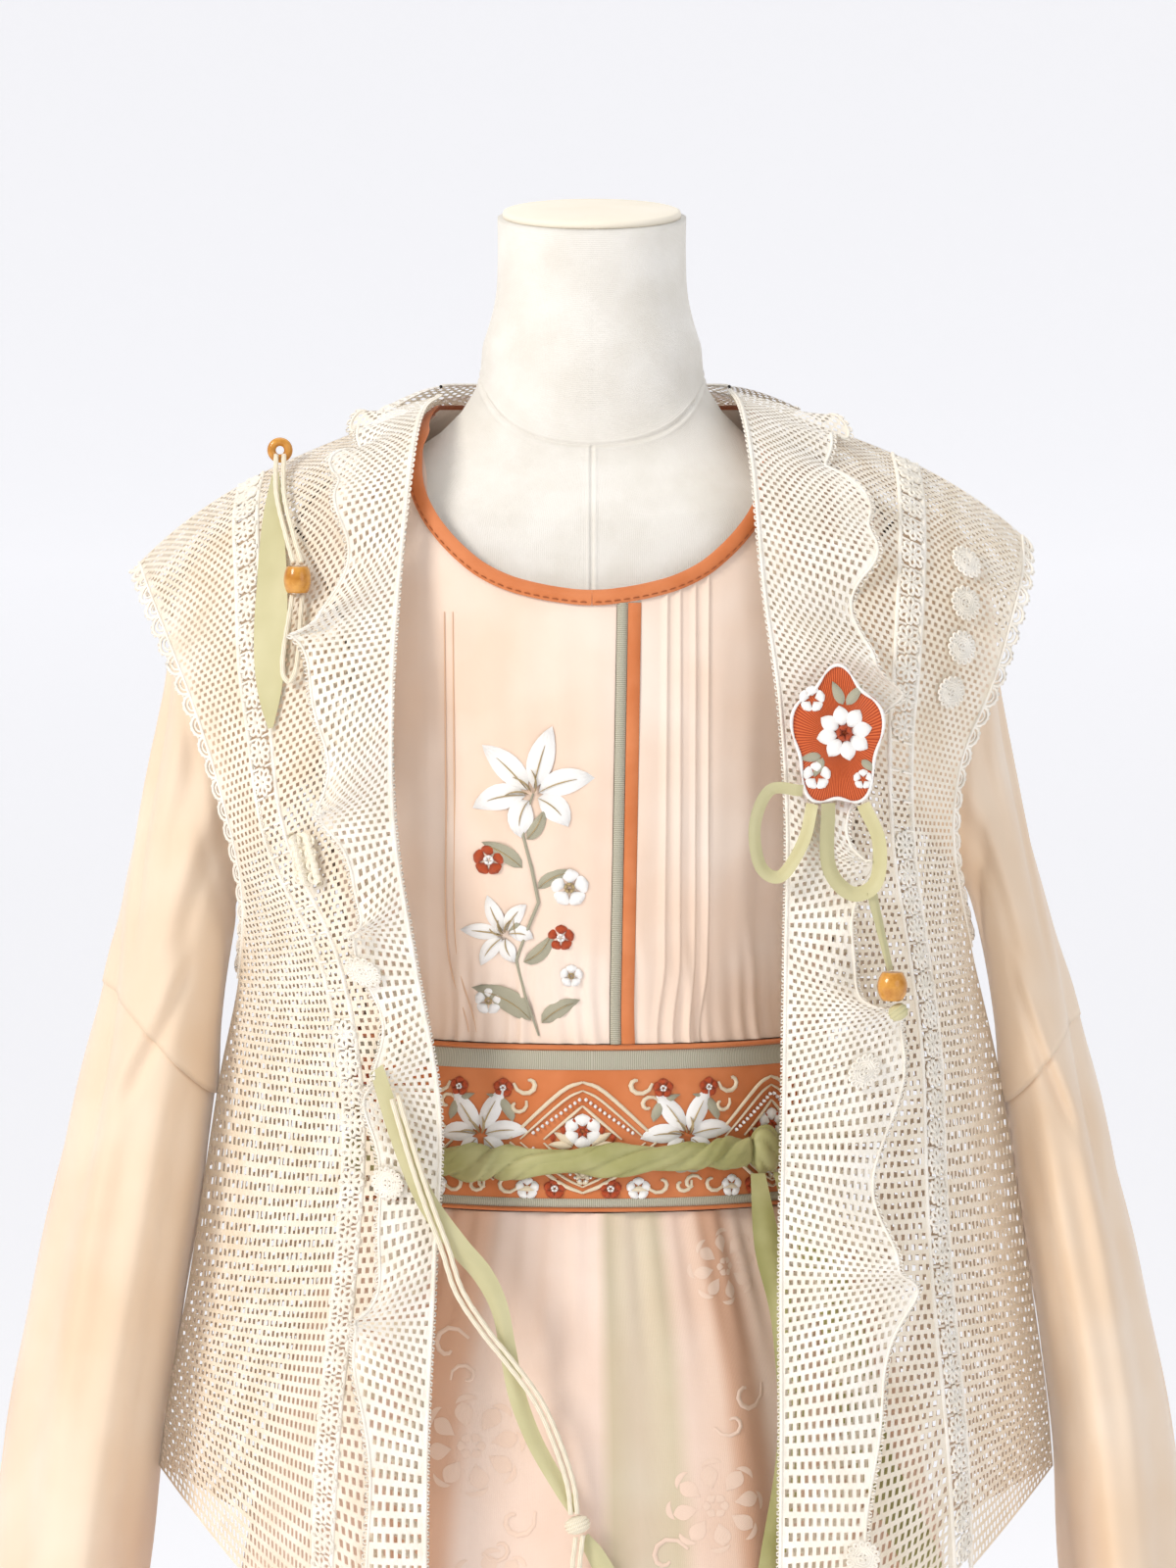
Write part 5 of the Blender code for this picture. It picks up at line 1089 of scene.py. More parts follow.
tails = (
    ("sash_tail_inner", 0.016, [(1, 0.10, 0)] * 2, 0.5, [
        (0.0980, -0.0910, 0.9575), (0.1040, -0.1060, 0.9150), (0.1140, -0.1160, 0.8700),
        (0.1170, -0.1250, 0.8000),
        (0.1040, -0.1350, 0.7150), (0.0980, -0.1460, 0.6300), (0.0970, -0.1540, 0.5600),
    ]),
    ("sash_tail_outer", 0.026, [(1, 0.25, 0)] * 2, 2.0, [
        (0.1140, -0.0800, 0.9575), (0.1330, -0.0980, 0.9080), (0.1500, -0.1120, 0.8600),
        (0.1650, -0.1180, 0.7950),
        (0.1950, -0.1100, 0.7250), (0.2080, -0.1090, 0.6400), (0.2120, -0.1120, 0.5600),
    ]),
)
for name, width, across, phase, places in tails:
    widths = [width * share for share in (0.55, 1, 1, 1, 1, 1, 1)]
    tail, grid = ribbon(name, places, widths, across, sage_satin, 0.0012, phase)
    sewn(tail, grid, "sage_satin", [name])
print("sash, knot and two tails")

# %% [markdown]
# ## Skirt
# The skirt is sheer silk that falls in soft folds. Its panels share one formula: an ellipse that widens
# downwards, times a wave. Finer folds come and go between the main ones, and coloured gores are painted as
# stripes on the cloth's own coordinate round the body.

# %% Skirt cloth
SKIRT_FOLDS = 14
SKIRT_RINGS = np.array([
    (WAIST_BOTTOM - 0.0008, 0.1390, 0.1030, 0.0015), (0.8400, 0.1770, 0.1260, 0.0040),
    (0.6600, 0.2140, 0.1490, 0.0075),
    (0.3600, 0.2620, 0.1940, 0.0115), (0.0360, 0.3050, 0.2450, 0.0140),
])
# Where a stripe starts round the body, as a distance at the waistband, and its colour
GORES = (
    (-0.2600, "#EBD1BF"), (-0.0860, "#ECD4C4"), (-0.0780, "#DEB499"), (-0.0560, "#E2BCA3"),
    (-0.0480, "#EFDACC"),
    (0.0020, "#EFDACD"), (0.0080, "#D2C5AA"), (0.0180, "#E3D4BE"), (0.0330, "#D3C7AD"), (0.0400, "#EED7C8"),
    (0.0530, "#EBCFBC"), (0.0580, "#DDB398"), (0.0700, "#E3BCA3"), (0.0780, "#EFD9CA"), (0.1250, "#ECD3C2"),
    (0.1350, "#E3BDA4"), (0.1600, "#ECD4C4"), (0.2600, "#EBD1BF"),
)


def chiffon_look():
    """Sheer silk: a fine weave with a soft sheen, and gores of other colours with soft edges."""
    look, tree, shader = new_look("pink chiffon", 0.6, 0.35)
    place = add_node(tree, "ShaderNodeTexCoord").outputs["UV"]
    parts = add_node(tree, "ShaderNodeSeparateXYZ", {"Vector": place})
    share = add_node(
        tree, "ShaderNodeMapRange", {"Value": parts.outputs["X"], "From Min": -0.26, "From Max": 0.26}
    )
    ramp = add_node(tree, "ShaderNodeValToRGB", {"Fac": share.outputs["Result"]})
    stops = ramp.color_ramp.elements
    stops.remove(stops[1])
    stops[0].color = linear(GORES[0][1])
    for start, colour in GORES[1:]:
        stops.new((start + 0.26) / 0.52).color = linear(colour)
    slow = blotches(tree, ("#F8F1EB", "#FFFFFF"), 0.07)
    mixed = add_node(
        tree, "ShaderNodeMix", {6: ramp.outputs["Color"], 7: slow, 0: 0.9}, data_type="RGBA",
        blend_type="MULTIPLY"
    )
    weave = add_node(
        tree, "ShaderNodeMath", {0: waves(tree, place, 0.0007, "X"), 1: waves(tree, place, 0.0007, "Y")},
        operation="MAXIMUM"
    )
    tree.links.new(mixed.outputs[2], shader.inputs["Base Color"])
    finish_bump(tree, shader, weave.outputs[0], 0.00006)
    return look


chiffon = chiffon_look()


def skirt_point(turn, height, out=0.0):
    """The ellipse of a height, times the main wave, with finer folds that grow and fade down the cloth."""
    order = SKIRT_RINGS[::-1]
    width, depth, fold = np.moveaxis(through(order[:, 0], order[:, 1:], height), -1, 0)
    wave = np.cos(SKIRT_FOLDS * turn) + 0.35 * np.sin(7 * turn + 1.0)
    drift = 0.5 * np.sin(3 * turn + 6 * height)
    fine = np.sin(29 * turn + drift) * (0.5 + 0.5 * np.sin(5 * turn + 7 * height))
    fine += 0.8 * np.sin(61 * turn + 2 * drift) * smooth(0.82, 0.92, height)
    reach = 1 + (fold * wave + np.minimum(0.0030, fold) * 0.5 * fine + SILK_WALL + out) / width
    return np.stack([width * reach * np.sin(turn), -depth * reach * np.cos(turn), height], axis=-1)


step = 2 * math.pi / (SKIRT_FOLDS * 4)
for name, start, end in (("front", -8, 8), ("side_l", 8, 20), ("back", 20, 36), ("side_r", 36, 48)):
    around = np.linspace(start * step + 0.0012, end * step - 0.0012, 9 * (end - start) + 1)
    turn, height = np.meshgrid(around, np.linspace(WAIST_BOTTOM - 0.0008, 0.0360, 110))
    grid = skirt_point(turn, height)
    spread = np.where(turn[0].mean() > math.pi, turn - 2 * math.pi, turn)
    uv = np.stack([spread * 0.125, height], axis=-1)
    panel = mesh_piece("skirt_" + name, grid, quads(*grid.shape[:2]), uv, chiffon)
    sewn(panel, grid, "pink_chiffon", ["skirt_" + name])


def on_skirt(x, z):
    """Points of the skirt's front at a place seen from the front."""
    order = SKIRT_RINGS[::-1]
    width = through(order[:, 0], order[:, 1], z)
    turn = np.arcsin(np.clip(x / width, -1, 1))
    points = skirt_point(turn, z, 0.0002)
    return points, unit(np.stack([np.sin(turn), -np.cos(turn) * 1.3, 0 * z], axis=-1))


printed = []
for x, z, radius in (
    (0.078, 0.903, 0.019), (-0.070, 0.800, 0.026), (-0.058, 0.715, 0.022), (0.072, 0.765, 0.024),
    (0.062, 0.690, 0.024)
):
    printed += blossom(x, z, radius, 8, 0.50, 0.2, 0.34, 0.0002) + blossom(
        x, z, radius * 0.30, 6, 0.7, 0.0, 0.2, 0.0002
    )
    for a in np.arange(8) * math.pi / 4 + 0.6:
        printed.append(
            petal(
                x + radius * 1.02 * math.cos(a), z + radius * 1.02 * math.sin(a), a + 1.1, radius * 0.6,
                radius * 0.14, 0.0002, 1.0, 1.6
            )
        )
for x, z, hand in ((-0.083, 0.857, 1), (-0.046, 0.757, -1), (0.090, 0.830, -1), (0.045, 0.735, 1)):
    printed += [
        curl(x, z, 0.013, 0.4, hand, 0.0030, 5.0),
        curl(x + 0.010 * hand, z - 0.017, 0.009, 3.4, -hand, 0.0024, 5.0)
    ]
printed = [shape * (1, 1, 0.4) for shape in printed]
embroider("skirt_print", printed, on_skirt, print_cream, "pink_chiffon")
print("skirt in four panels, with", len(printed), "printed shapes")

# %% [markdown]
# ## Crochet vest
# The vest is openwork: small blocks of thread alternate with square holes, and each row is shifted by half a
# block. A picture of holes would not let the green sash show through, so the holes are real. The surface is a
# grid with two columns to a block, and the cells where a hole belongs are simply left out.

# %% Vest surfaces
# Fold edge x, y, z, then armhole or side edge x, y, z
VEST_FRONT_R = np.array([
    (-0.0900, 0.012, 1.4097, -0.2690, 0.000, 1.314), (-0.1000, -0.040, 1.4015, -0.2620, -0.033, 1.300),
    (-0.1065, -0.078, 1.3680, -0.2500, -0.056, 1.272), (-0.1135, -0.106, 1.300, -0.2360, -0.064, 1.236),
    (-0.1170, -0.128, 1.235, -0.2187, -0.068, 1.181), (-0.1155, -0.134, 1.165, -0.2070, -0.056, 1.121),
    (-0.1030, -0.134, 1.085, -0.2105, -0.024, 1.066), (-0.0890, -0.137, 1.000, -0.2234, -0.012, 1.000),
    (-0.0920, -0.146, 0.905, -0.2400, -0.012, 0.890), (-0.0970, -0.158, 0.790, -0.2520, -0.012, 0.825),
    (-0.0970, -0.172, 0.620, -0.2590, -0.012, 0.773),
])
VEST_FRONT_L = np.array([
    (0.0820, 0.012, 1.4128, 0.2560, 0.000, 1.330), (0.0880, -0.042, 1.4030, 0.2550, -0.031, 1.313),
    (0.0945, -0.080, 1.3680, 0.2490, -0.053, 1.289), (0.1010, -0.106, 1.300, 0.2360, -0.062, 1.245),
    (0.1100, -0.128, 1.235, 0.2180, -0.068, 1.200), (0.1140, -0.134, 1.165, 0.2140, -0.060, 1.150),
    (0.1130, -0.134, 1.085, 0.2260, -0.026, 1.085), (0.1120, -0.137, 1.000, 0.2440, -0.012, 1.005),
    (0.1105, -0.146, 0.905, 0.2600, -0.012, 0.900), (0.1105, -0.158, 0.790, 0.2715, -0.012, 0.820),
    (0.1085, -0.172, 0.620, 0.2760, -0.012, 0.773),
])
DAISY_PATH_R = (
    (0.00, 0.63), (0.20, 0.67), (0.34, 0.72), (0.46, 0.74), (0.60, 0.45), (0.68, 0.39), (1.00, 0.385)
)
DAISY_PATH_L = ((0.00, 0.60), (0.28, 0.62), (0.50, 0.69), (0.66, 0.70), (0.75, 0.65), (1.00, 0.66))
PLAIN_STRETCH_R, PLAIN_STRETCH_L = (0.430, 0.630), (0.400, 0.500)
DAISY_PITCH, DAISY_WIDTH, SCALLOP_PITCH = 0.0175, 0.0160, 0.0129
BACK_FOLD, ARMHOLE_SHARE = 0.33, 0.6
VEST_BACK_BULGE = np.array([(0.0, 0.084), (0.1, 0.046), (0.2, 0.018), (0.3, 0.007), (1.0, 0.004)])
RUFFLE_BASE = 0.0030
# Share of the way down, width, how far the waves stand off, how far they sag
RUFFLE_R = np.array([
    (0.00, 0.044, 0.006, 0.002), (0.10, 0.050, 0.012, 0.008), (0.20, 0.046, 0.016, 0.012),
    (0.32, 0.060, 0.020, 0.015),
    (0.43, 0.056, 0.018, 0.015), (0.53, 0.042, 0.016, 0.012), (0.66, 0.048, 0.018, 0.014),
    (0.80, 0.052, 0.020, 0.015),
    (1.00, 0.058, 0.022, 0.015),
])
RUFFLE_L = np.array([
    (0.00, 0.062, 0.006, 0.002), (0.12, 0.066, 0.010, 0.006), (0.24, 0.072, 0.012, 0.010),
    (0.36, 0.074, 0.014, 0.012),
    (0.47, 0.054, 0.018, 0.014), (0.56, 0.058, 0.020, 0.014), (0.68, 0.090, 0.024, 0.016),
    (0.82, 0.090, 0.024, 0.016),
    (1.00, 0.080, 0.024, 0.015),
])


def vest_rows(table, shares):
    """Fold edge and outer edge of the vest at each share of the way down."""
    rows = even(table, shares)
    return rows[..., :3], rows[..., 3:]


def shoulder_drop(across, shares):
    """How much of the shoulder's fall is held back until near its tip."""
    return 0.30 * (across - across ** 4) * np.clip(1 - shares / 0.22, 0, 1)


def vest_point(table, across, shares):
    """Straight from the fold edge to the outer edge, but its depth rounds back to the side late."""
    fold, outer = vest_rows(table, shares)
    place = fold + (outer - fold) * across[..., None]
    place[..., 1] = fold[..., 1] + (outer[..., 1] - fold[..., 1]) * across ** 2.6
    place[..., 2] -= shoulder_drop(across, shares) * (outer[..., 2] - fold[..., 2])
    return place


def width_at(table, shares):
    """Width of the front along the cloth, a little more than straight across."""
    fold, outer = vest_rows(table, shares)
    return np.linalg.norm(outer - fold, axis=-1) * 1.03


def soft_lace(across, shares, seed):
    """Slow waves in the lace, so that it hangs like knitted cloth and not like a board."""
    wave = np.sin(across * 9 + shares * 5 + seed) * np.sin(shares * 13 - across * 4 + seed)
    return 0.0012 * wave + 0.0006 * np.sin(across * 23 + seed) * np.sin(shares * 37 + seed)


def vest_front(table, across, shares):
    """Points on the outside of a front, with the slow waves of the lace."""
    place = vest_point(table, across, shares)
    place[..., 1] -= LACE_WALL / 2 + soft_lace(across, shares, 1.0)
    return place


# %% Net
HOLE, BLOCK = 0.0027, 0.0021    # height of a row of holes and of a row of plain blocks


def net(name, surface, widths, length, look, flip=False):
    """Lays the net on a surface of two shares, at one real pitch whatever the width, which can change on the
    way down. Rows of holes and of blocks alternate, and every other row shifts."""
    pairs = max(3, round(length / (HOLE + BLOCK)))
    rows = 2 * pairs + 2
    down = np.insert(np.cumsum(np.where(np.arange(rows - 1) % 2, HOLE, BLOCK)), 0, 0)
    width = np.interp(down / down[-1], np.linspace(0, 1, len(widths)), widths)[:, None]
    columns = 2 * math.ceil(width.max() / NET) + 2
    across = np.minimum(np.arange(columns) * (NET / 2) / width, 1)
    shares = np.repeat(down[:, None] / down[-1], columns, axis=1)
    grid = surface(across, shares)
    i, j = np.mgrid[0:rows - 1, 0:columns - 1]
    beyond = (across[:-1, :-1] >= 1) & (across[1:, :-1] >= 1)
    at_edge = (across[:-1, 1:] >= 1) | (across[1:, 1:] >= 1)
    hole = (i % 2 == 1) & ((j + i // 2) % 2 == 1) & (j > 0) & ~at_edge & (i < rows - 2)
    u, v = np.meshgrid(np.arange(columns) - 1, np.arange(rows) - 1)
    faces = quads(rows, columns)[~(hole | beyond).ravel()]
    if flip:
        faces = faces[:, ::-1]
    made = mesh_piece(name, grid, faces, np.stack([u, v], axis=-1) * NET / 2, look)
    return made, grid


def sizes_of(grid):
    """The width of each row of a grid, made even over nine rows, and its mean length."""
    across, down = (np.linalg.norm(np.diff(grid, axis=axis), axis=-1) for axis in (1, 0))
    widths = np.convolve(np.pad(across.sum(axis=1), 4, mode="edge"), np.ones(9) / 9, "valid")
    return widths, float(down.sum(axis=0).mean())


def down_length(table, path):
    """Length of the band of daisies, and the share of the way down at each length."""
    shares = np.linspace(0, 1, 400)
    places = vest_point(table, through(*np.array(path).T, shares), shares)
    return steps_along(places), shares


def band_edges(table, path, shares, side):
    """Where a panel ends beside the daisy band, as a share of the front's width."""
    middle = through(*np.array(path).T, shares)
    return middle + side * (DAISY_WIDTH / 2 + 0.0002) / width_at(table, shares)


# %% Daisies, scallops and picots
def ring_of_thread(length, width, thread, turn, start, count=8, sides=4):
    """A loop of thread: an ellipse that starts near a middle and points outwards at an angle."""
    a = np.linspace(0, 2 * math.pi, count)
    x, y = start + length / 2 * (1 - np.cos(a)), width / 2 * np.sin(a)
    flat = np.stack(
        [x * math.cos(turn) - y * math.sin(turn), x * math.sin(turn) + y * math.cos(turn), 0 * a], axis=-1
    )
    return tube(flat, thread, sides, (0, 0, 1))


DAISY = np.array(
    [ring_of_thread(0.0064, 0.0042, 0.00112, k * math.pi / 4, 0.0015) for k in range(8)]
    + [ring_of_thread(0.0034, 0.0034, 0.00100, 0.0, -0.0017)]
)
ROUND_FLOWER = np.array(
    [ring_of_thread(2 * r, 2 * r, 0.00105, 0.3, -r) for r in (0.0034, 0.0050, 0.0066)]
    + [ring_of_thread(0.0030, 0.0026, 0.00095, (k + 0.5) * math.pi / 7, 0.0066) for k in range(14)]
    + [ring_of_thread(0.0030, 0.0009, 0.00070, k * math.pi / 2, 0.0002) for k in range(4)]
)


def frames_on(surface, across, shares, step=0.004):
    """Place, and unit directions across, down and out of a surface of two shares."""
    place = surface(across, shares)
    along = unit(surface(across + step, shares) - surface(across - step, shares))
    down = unit(surface(across, shares + step) - surface(across, shares - step))
    out = unit(np.cross(along, down))
    flip = np.where(out[..., 1:2] > 0, -1.0, 1.0)
    return place, along, down, out * flip


def lay(template, place, along, down, out, lift=0.0012):
    """Copies of a flat template of threads, one at each frame."""
    flat = template[None]
    spread = lambda way: way[:, None, None, None, :]
    points = spread(
        place + out * lift
    ) + flat[..., :1] * spread(along) + flat[..., 1:2] * spread(down) + flat[..., 2:] * spread(out)
    return points.reshape(-1, *template.shape[1:])


def thread_along(line, radius, sides=6):
    """A tube of thread along a line, its seam turned away from +Z."""
    return tube(line, radius, sides, (0, 0, 1))


def threads(name, groups):
    """Several sets of grids as one object, each set made with its own shape."""
    points, faces, uv, first = [], [], [], 0
    for group in groups:
        count, rows, columns = group.shape[:3]
        cells = (
            quads(rows, columns)[None] + np.arange(count)[:, None, None] * rows * columns
        ).reshape(-1, 4) + first
        places = np.stack(np.meshgrid(np.arange(columns) * 0.0006, np.arange(rows) * 0.0009), axis=-1)
        points.append(group.reshape(-1, 3))
        faces.append(cells)
        uv.append(np.broadcast_to(places, (count, rows, columns, 2)).reshape(-1, 2))
        first += count * rows * columns
    return mesh_piece(name, np.concatenate(points), np.concatenate(faces), np.concatenate(uv), crochet)


print("net, daisy and thread helpers ready")


# %% Vest fronts
def scallop_edge(table):
    """The armhole's edge from its foot over the shoulder and down the back, with the direction out of it."""
    shares = np.linspace(ARMHOLE_SHARE, 0, 90)
    front = vest_point(table, np.ones(90), shares)
    inner = vest_point(table, np.full(90, 0.94), shares)
    back, inner_back = front * (1, -1, 1) + (0, 2 * SEAM, 0), inner * (1, -1, 1)
    edge = np.concatenate([front, back[::-1][1:]])
    out = unit(np.concatenate([front - inner, (back - inner_back)[::-1][1:]]))
    return edge, out


def read_line(line, at):
    """Values of a line at distances along it."""
    places = steps_along(line)
    return np.stack([np.interp(at, places, line[:, k]) for k in range(line.shape[1])], axis=-1)


def scallops(name, table):
    """A rail of thread, and on it one arch to each pitch with small picot loops along its top."""
    edge, out = scallop_edge(table)
    total = steps_along(edge)[-1]
    count = int((total - 0.010) / SCALLOP_PITCH)
    pitch = (total - 0.010) / count
    places = steps_along(edge)
    a = np.linspace(0, math.pi, 11)
    arches, picots, bars = [], [], []
    for number in range(count):
        middle = 0.005 + (number + 0.5) * pitch
        for reach, half, thread, group in ((0.0070, 0.46, 0.0010, arches), (0.0040, 0.27, 0.0007, bars)):
            at = middle - np.cos(a) * pitch * half
            foot = read_line(edge, at)
            way = np.stack([np.interp(at, places, out[:, k]) for k in range(3)], axis=-1)
            group.append(thread_along(foot + way * (0.0008 + reach * np.sin(a)[:, None] ** 0.8), thread, 6))
        for b in np.linspace(0.5, math.pi - 0.5, 5):
            at = middle - math.cos(b) * pitch * 0.46
            foot = read_line(edge, np.array([at]))[0]
            way = np.array([np.interp(at, places, out[:, k]) for k in range(3)])
            side = unit(read_line(edge, np.array([at + 0.002]))[0] - foot)
            centre = foot + way * (0.0016 + 0.0070 * math.sin(b) ** 0.8)
            c = np.linspace(0, 2 * math.pi, 7)
            picots.append(
                thread_along(
                    centre + 0.0009 * (np.cos(c)[:, None] * side + np.sin(c)[:, None] * way), 0.0005, 5
                )
            )
    rail = read_line(edge + out * 0.0008, np.linspace(0.001, total - 0.001, 260))
    made = threads(
        name, [np.array(arches), np.array(bars), np.array(picots), thread_along(rail, 0.0010, 6)[None]]
    )
    return declared(made, "cream_crochet", name), count


def daisies(name, table, path, plain):
    """A column of daisies between two rails, with plain net in the stretch that the ruffle covers."""
    lengths, shares = down_length(table, path)
    count = int(lengths[-1] / DAISY_PITCH)
    lead = (lengths[-1] - count * DAISY_PITCH) / 2
    at = np.interp(lead + (np.arange(count) + 0.32) * DAISY_PITCH, lengths, shares)
    at = at[(at < plain[0]) | (at > plain[1])]
    surface = lambda across, share: vest_front(table, across, share)
    flowers = lay(DAISY, *frames_on(surface, through(*np.array(path).T, at), at))
    posts = []
    for share in np.interp(lead + (np.arange(count) + 0.82) * DAISY_PITCH, lengths, shares):
        middle = float(through(*np.array(path).T, share))
        half = DAISY_WIDTH / 2 / float(width_at(table, share))
        for reach in ((-1, -0.2), (0.2, 1)):
            line = np.array([middle + half * r for r in np.linspace(*reach, 4)])
            posts.append(thread_along(surface(line, np.full(4, share)) + (0, -0.0004, 0), 0.0009, 5))
    fine = np.linspace(0, 1, 420)
    rails = [thread_along(surface(band_edges(table, path, fine, side), fine), 0.0014, 6) for side in (-1, 1)]
    lattice = []
    wide = lambda share, t: through(*np.array(path).T, share) + t * (DAISY_WIDTH / 2) / width_at(table, share)
    zigzag = np.linspace(0, 1, int(lengths[-1] / 0.0022))
    for side in (-1, 1):
        step = np.where(np.arange(len(zigzag)) % 2, 0.98, 0.74)
        lattice.append(thread_along(surface(wide(zigzag, side * step), zigzag), 0.0007, 4))
    made = threads(name, [flowers, np.array(posts), np.array(rails), np.array(lattice)])
    start, reach = max(plain[0] - 0.01, 0), plain[1] - plain[0] + 0.02
    # The plain net under the ruffle takes the crochet with painted shade
    filler, _ = net(
        name + "_plain", lambda t, s: surface(wide(start + reach * s, 2 * t - 1), start + reach * s),
        [DAISY_WIDTH], reach * lengths[-1], shaded_crochet,
    )
    declared(filler, "cream_crochet")
    return declared(made, "cream_crochet", name), len(at)


fronts = (
    ("r", VEST_FRONT_R, DAISY_PATH_R, PLAIN_STRETCH_R, RUFFLE_R, 7.5, -1),
    ("l", VEST_FRONT_L, DAISY_PATH_L, PLAIN_STRETCH_L, RUFFLE_L, 6.5, 1),
)
for name, table, path, plain, *_ in fronts:
    for part in ("inner", "outer"):
        def surface(across, shares, table=table, path=path, part=part):
            side = -1 if part == "inner" else 1
            edge = band_edges(table, path, shares, side)
            place = edge * across if part == "inner" else edge + (1 - edge) * across
            return vest_front(table, place, shares)

        probe = surface(*np.meshgrid(np.linspace(0, 1, 9), np.linspace(0, 1, 120)))
        # The fronts take the crochet with painted shade, darker than the ruffles that lie over them
        made, grid = net("vest_front_" + name + "_" + part, surface, *sizes_of(probe), shaded_crochet)
        sewn(made, grid, "cream_crochet", ["vest_front_" + name + "_" + part])
    column, count = daisies("vest_daisies_" + name, table, path, plain)
    edging, arches = scallops("vest_scallops_" + name, table)
    print(column.name, count, "daisies,", edging.name, arches, "arches")


# %% Vest back
def back_point(across, shares):
    """The back mirrors the fronts' edges behind the form: -1 is the wearer's right side and 1 the left."""
    places = []
    for table in (VEST_FRONT_R, VEST_FRONT_L):
        fold, outer = vest_rows(table, shares)
        seam_y = table[0, 1]
        fold[..., 1] = seam_y + 0.85 * (seam_y - fold[..., 1]) + 2 * SEAM
        foot = np.clip((shares - 0.54) / 0.06, 0, 1)
        outer[..., 1] = np.abs(outer[..., 1]) * (1 - 2 * foot) + 2 * SEAM
        beyond = np.clip((np.abs(across) - BACK_FOLD) / (1 - BACK_FOLD), 0, 1)
        place = fold + (outer - fold) * beyond[..., None]
        place[..., 1] = fold[..., 1] + (outer[..., 1] - fold[..., 1]) * beyond ** 2.6
        place[..., 2] -= shoulder_drop(beyond, shares) * (outer[..., 2] - fold[..., 2])
        turn = np.clip(np.abs(across) / BACK_FOLD, 0, 1) * math.pi / 2
        place[..., 0] *= np.where(turn < math.pi / 2, np.sin(turn), 1)
        place[..., 1] += np.interp(shares, *VEST_BACK_BULGE.T) * np.cos(turn)
        places.append(place)
    share_l = np.clip(across / 0.08 + 0.5, 0, 1)[..., None]
    place = places[0] * (1 - share_l) + places[1] * share_l
    place[..., 1] += LACE_WALL / 2 + soft_lace(across, shares, 3.0) * smooth(0.05, 0.2, shares)
    return place


# The back takes the crochet with painted shade too
back, back_net = net(
    "vest_back", lambda a, s: back_point(2 * a - 1, s), [0.44], 0.71, shaded_crochet, flip=True
)
sewn(back, back_net, "cream_crochet", ["vest_back"])


# %% Waterfall ruffles
def ruffle(table, widths, waves, side):
    """The ruffle leaves the fold edge, lies back over the front and waves along its free edge."""
    def surface(reach, shares):
        width, stand, sag = np.moveaxis(through(widths[:, 0], widths[:, 1:], shares), -1, 0)
        fold, near = vest_point(table, 0 * shares, shares), vest_point(table, 0 * shares + 0.30, shares)
        down = unit(
            vest_point(table, 0 * shares, shares + 0.01) - vest_point(table, 0 * shares, shares - 0.01)
        )
        front = unit(np.cross(unit(near - fold), down)) * -side
        phase = 2 * math.pi * waves * (shares + 0.018 * np.sin(11 * shares) + 0.01 * np.sin(23 * shares))
        small = 0.0030 * reach ** 2 * np.sin(2.3 * phase + 3 * reach + 1)
        lift = RUFFLE_BASE + stand * reach ** 1.2 * (
            0.52 + 0.48 * np.sin(phase + 0.5 * np.sin(phase))
        ) + small
        spread = width * reach * (1 + 0.15 * np.sin(phase - 0.9) + 0.05 * reach * np.sin(2.6 * phase + 1))
        place = vest_point(table, np.clip(spread / width_at(table, shares), 0, 1), shares)
        return place + front * lift[..., None] + down * (sag * reach * np.cos(phase))[..., None]

    return surface


def picot_edge(line, outward, pitch=0.0046, radius=0.0016, thread=0.0006):
    """Small loops of thread side by side along an edge, standing outwards from it."""
    total = steps_along(line)[-1]
    at = np.arange(pitch / 2, total, pitch)
    foot = read_line(line, at)
    way = unit(np.stack([np.interp(at, steps_along(line), outward[:, k]) for k in range(3)], axis=-1))
    side = unit(read_line(line, at + 0.001) - foot)
    c = np.linspace(0, 2 * math.pi, 7)[None, :, None]
    centre = foot + way * radius * 0.9
    loops = centre[:, None] + radius * (np.cos(c) * side[:, None] + np.sin(c) * way[:, None])
    return np.array([thread_along(loop, thread, 4) for loop in loops])


def nearest(surface, spots):
    """The shares of a surface that lie nearest to places seen from the front."""
    across, shares = np.meshgrid(np.linspace(0.04, 0.96, 60), np.linspace(0.01, 0.99, 500))
    places = surface(across, shares)
    found = [np.argmin((places[..., 0] - x) ** 2 + (places[..., 2] - z) ** 2) for x, z in spots]
    return across.ravel()[found], shares.ravel()[found]


# Round flowers, where they are seen from the front: on each ruffle, then on the front beside it
FLOWER_SPOTS = {
    "r": (((-0.134, 1.083), (-0.119, 0.957)), ()),
    "l": (((0.159, 1.023), (0.182, 0.743)), ((0.221, 1.316), (0.219, 1.293), (0.216, 1.268), (0.211, 1.241))),
}
for name, table, path, plain, widths, waves, side in fronts:
    surface = ruffle(table, widths, waves, side)
    probe = surface(*np.meshgrid(np.linspace(0, 1, 9), np.linspace(0, 1, 300)))
    made, grid = net("vest_ruffle_" + name, surface, *sizes_of(probe), crochet)
    fine = np.linspace(0, 1, 700)
    free, before = surface(0 * fine + 1, fine), surface(0 * fine + 0.9, fine)
    fold, after = surface(0 * fine, fine), surface(0 * fine + 0.1, fine)
    edging = threads("ruffle_edging_" + name, [
        picot_edge(free, unit(free - before)), thread_along(free, 0.0009, 6)[None],
        picot_edge(fold, unit(fold - after), 0.0040, 0.0012), thread_along(fold, 0.0011, 6)[None],
    ])
    declared(edging, "cream_crochet")
    panel = lambda across, shares: vest_front(table, across, shares)
    laid = []
    for ground, spots in zip((surface, panel), FLOWER_SPOTS[name]):
        if spots:
            laid.append(lay(ROUND_FLOWER, *frames_on(ground, *nearest(ground, spots)), 0.0024))
    flowers = threads("ruffle_flowers_" + name, laid)
    declared(flowers, "cream_crochet")
    sewn(
        made, grid, "cream_crochet", ["vest_ruffle_" + name],
    )
    print(sum(len(spots) for spots in FLOWER_SPOTS[name]), "round flowers near", made.name)


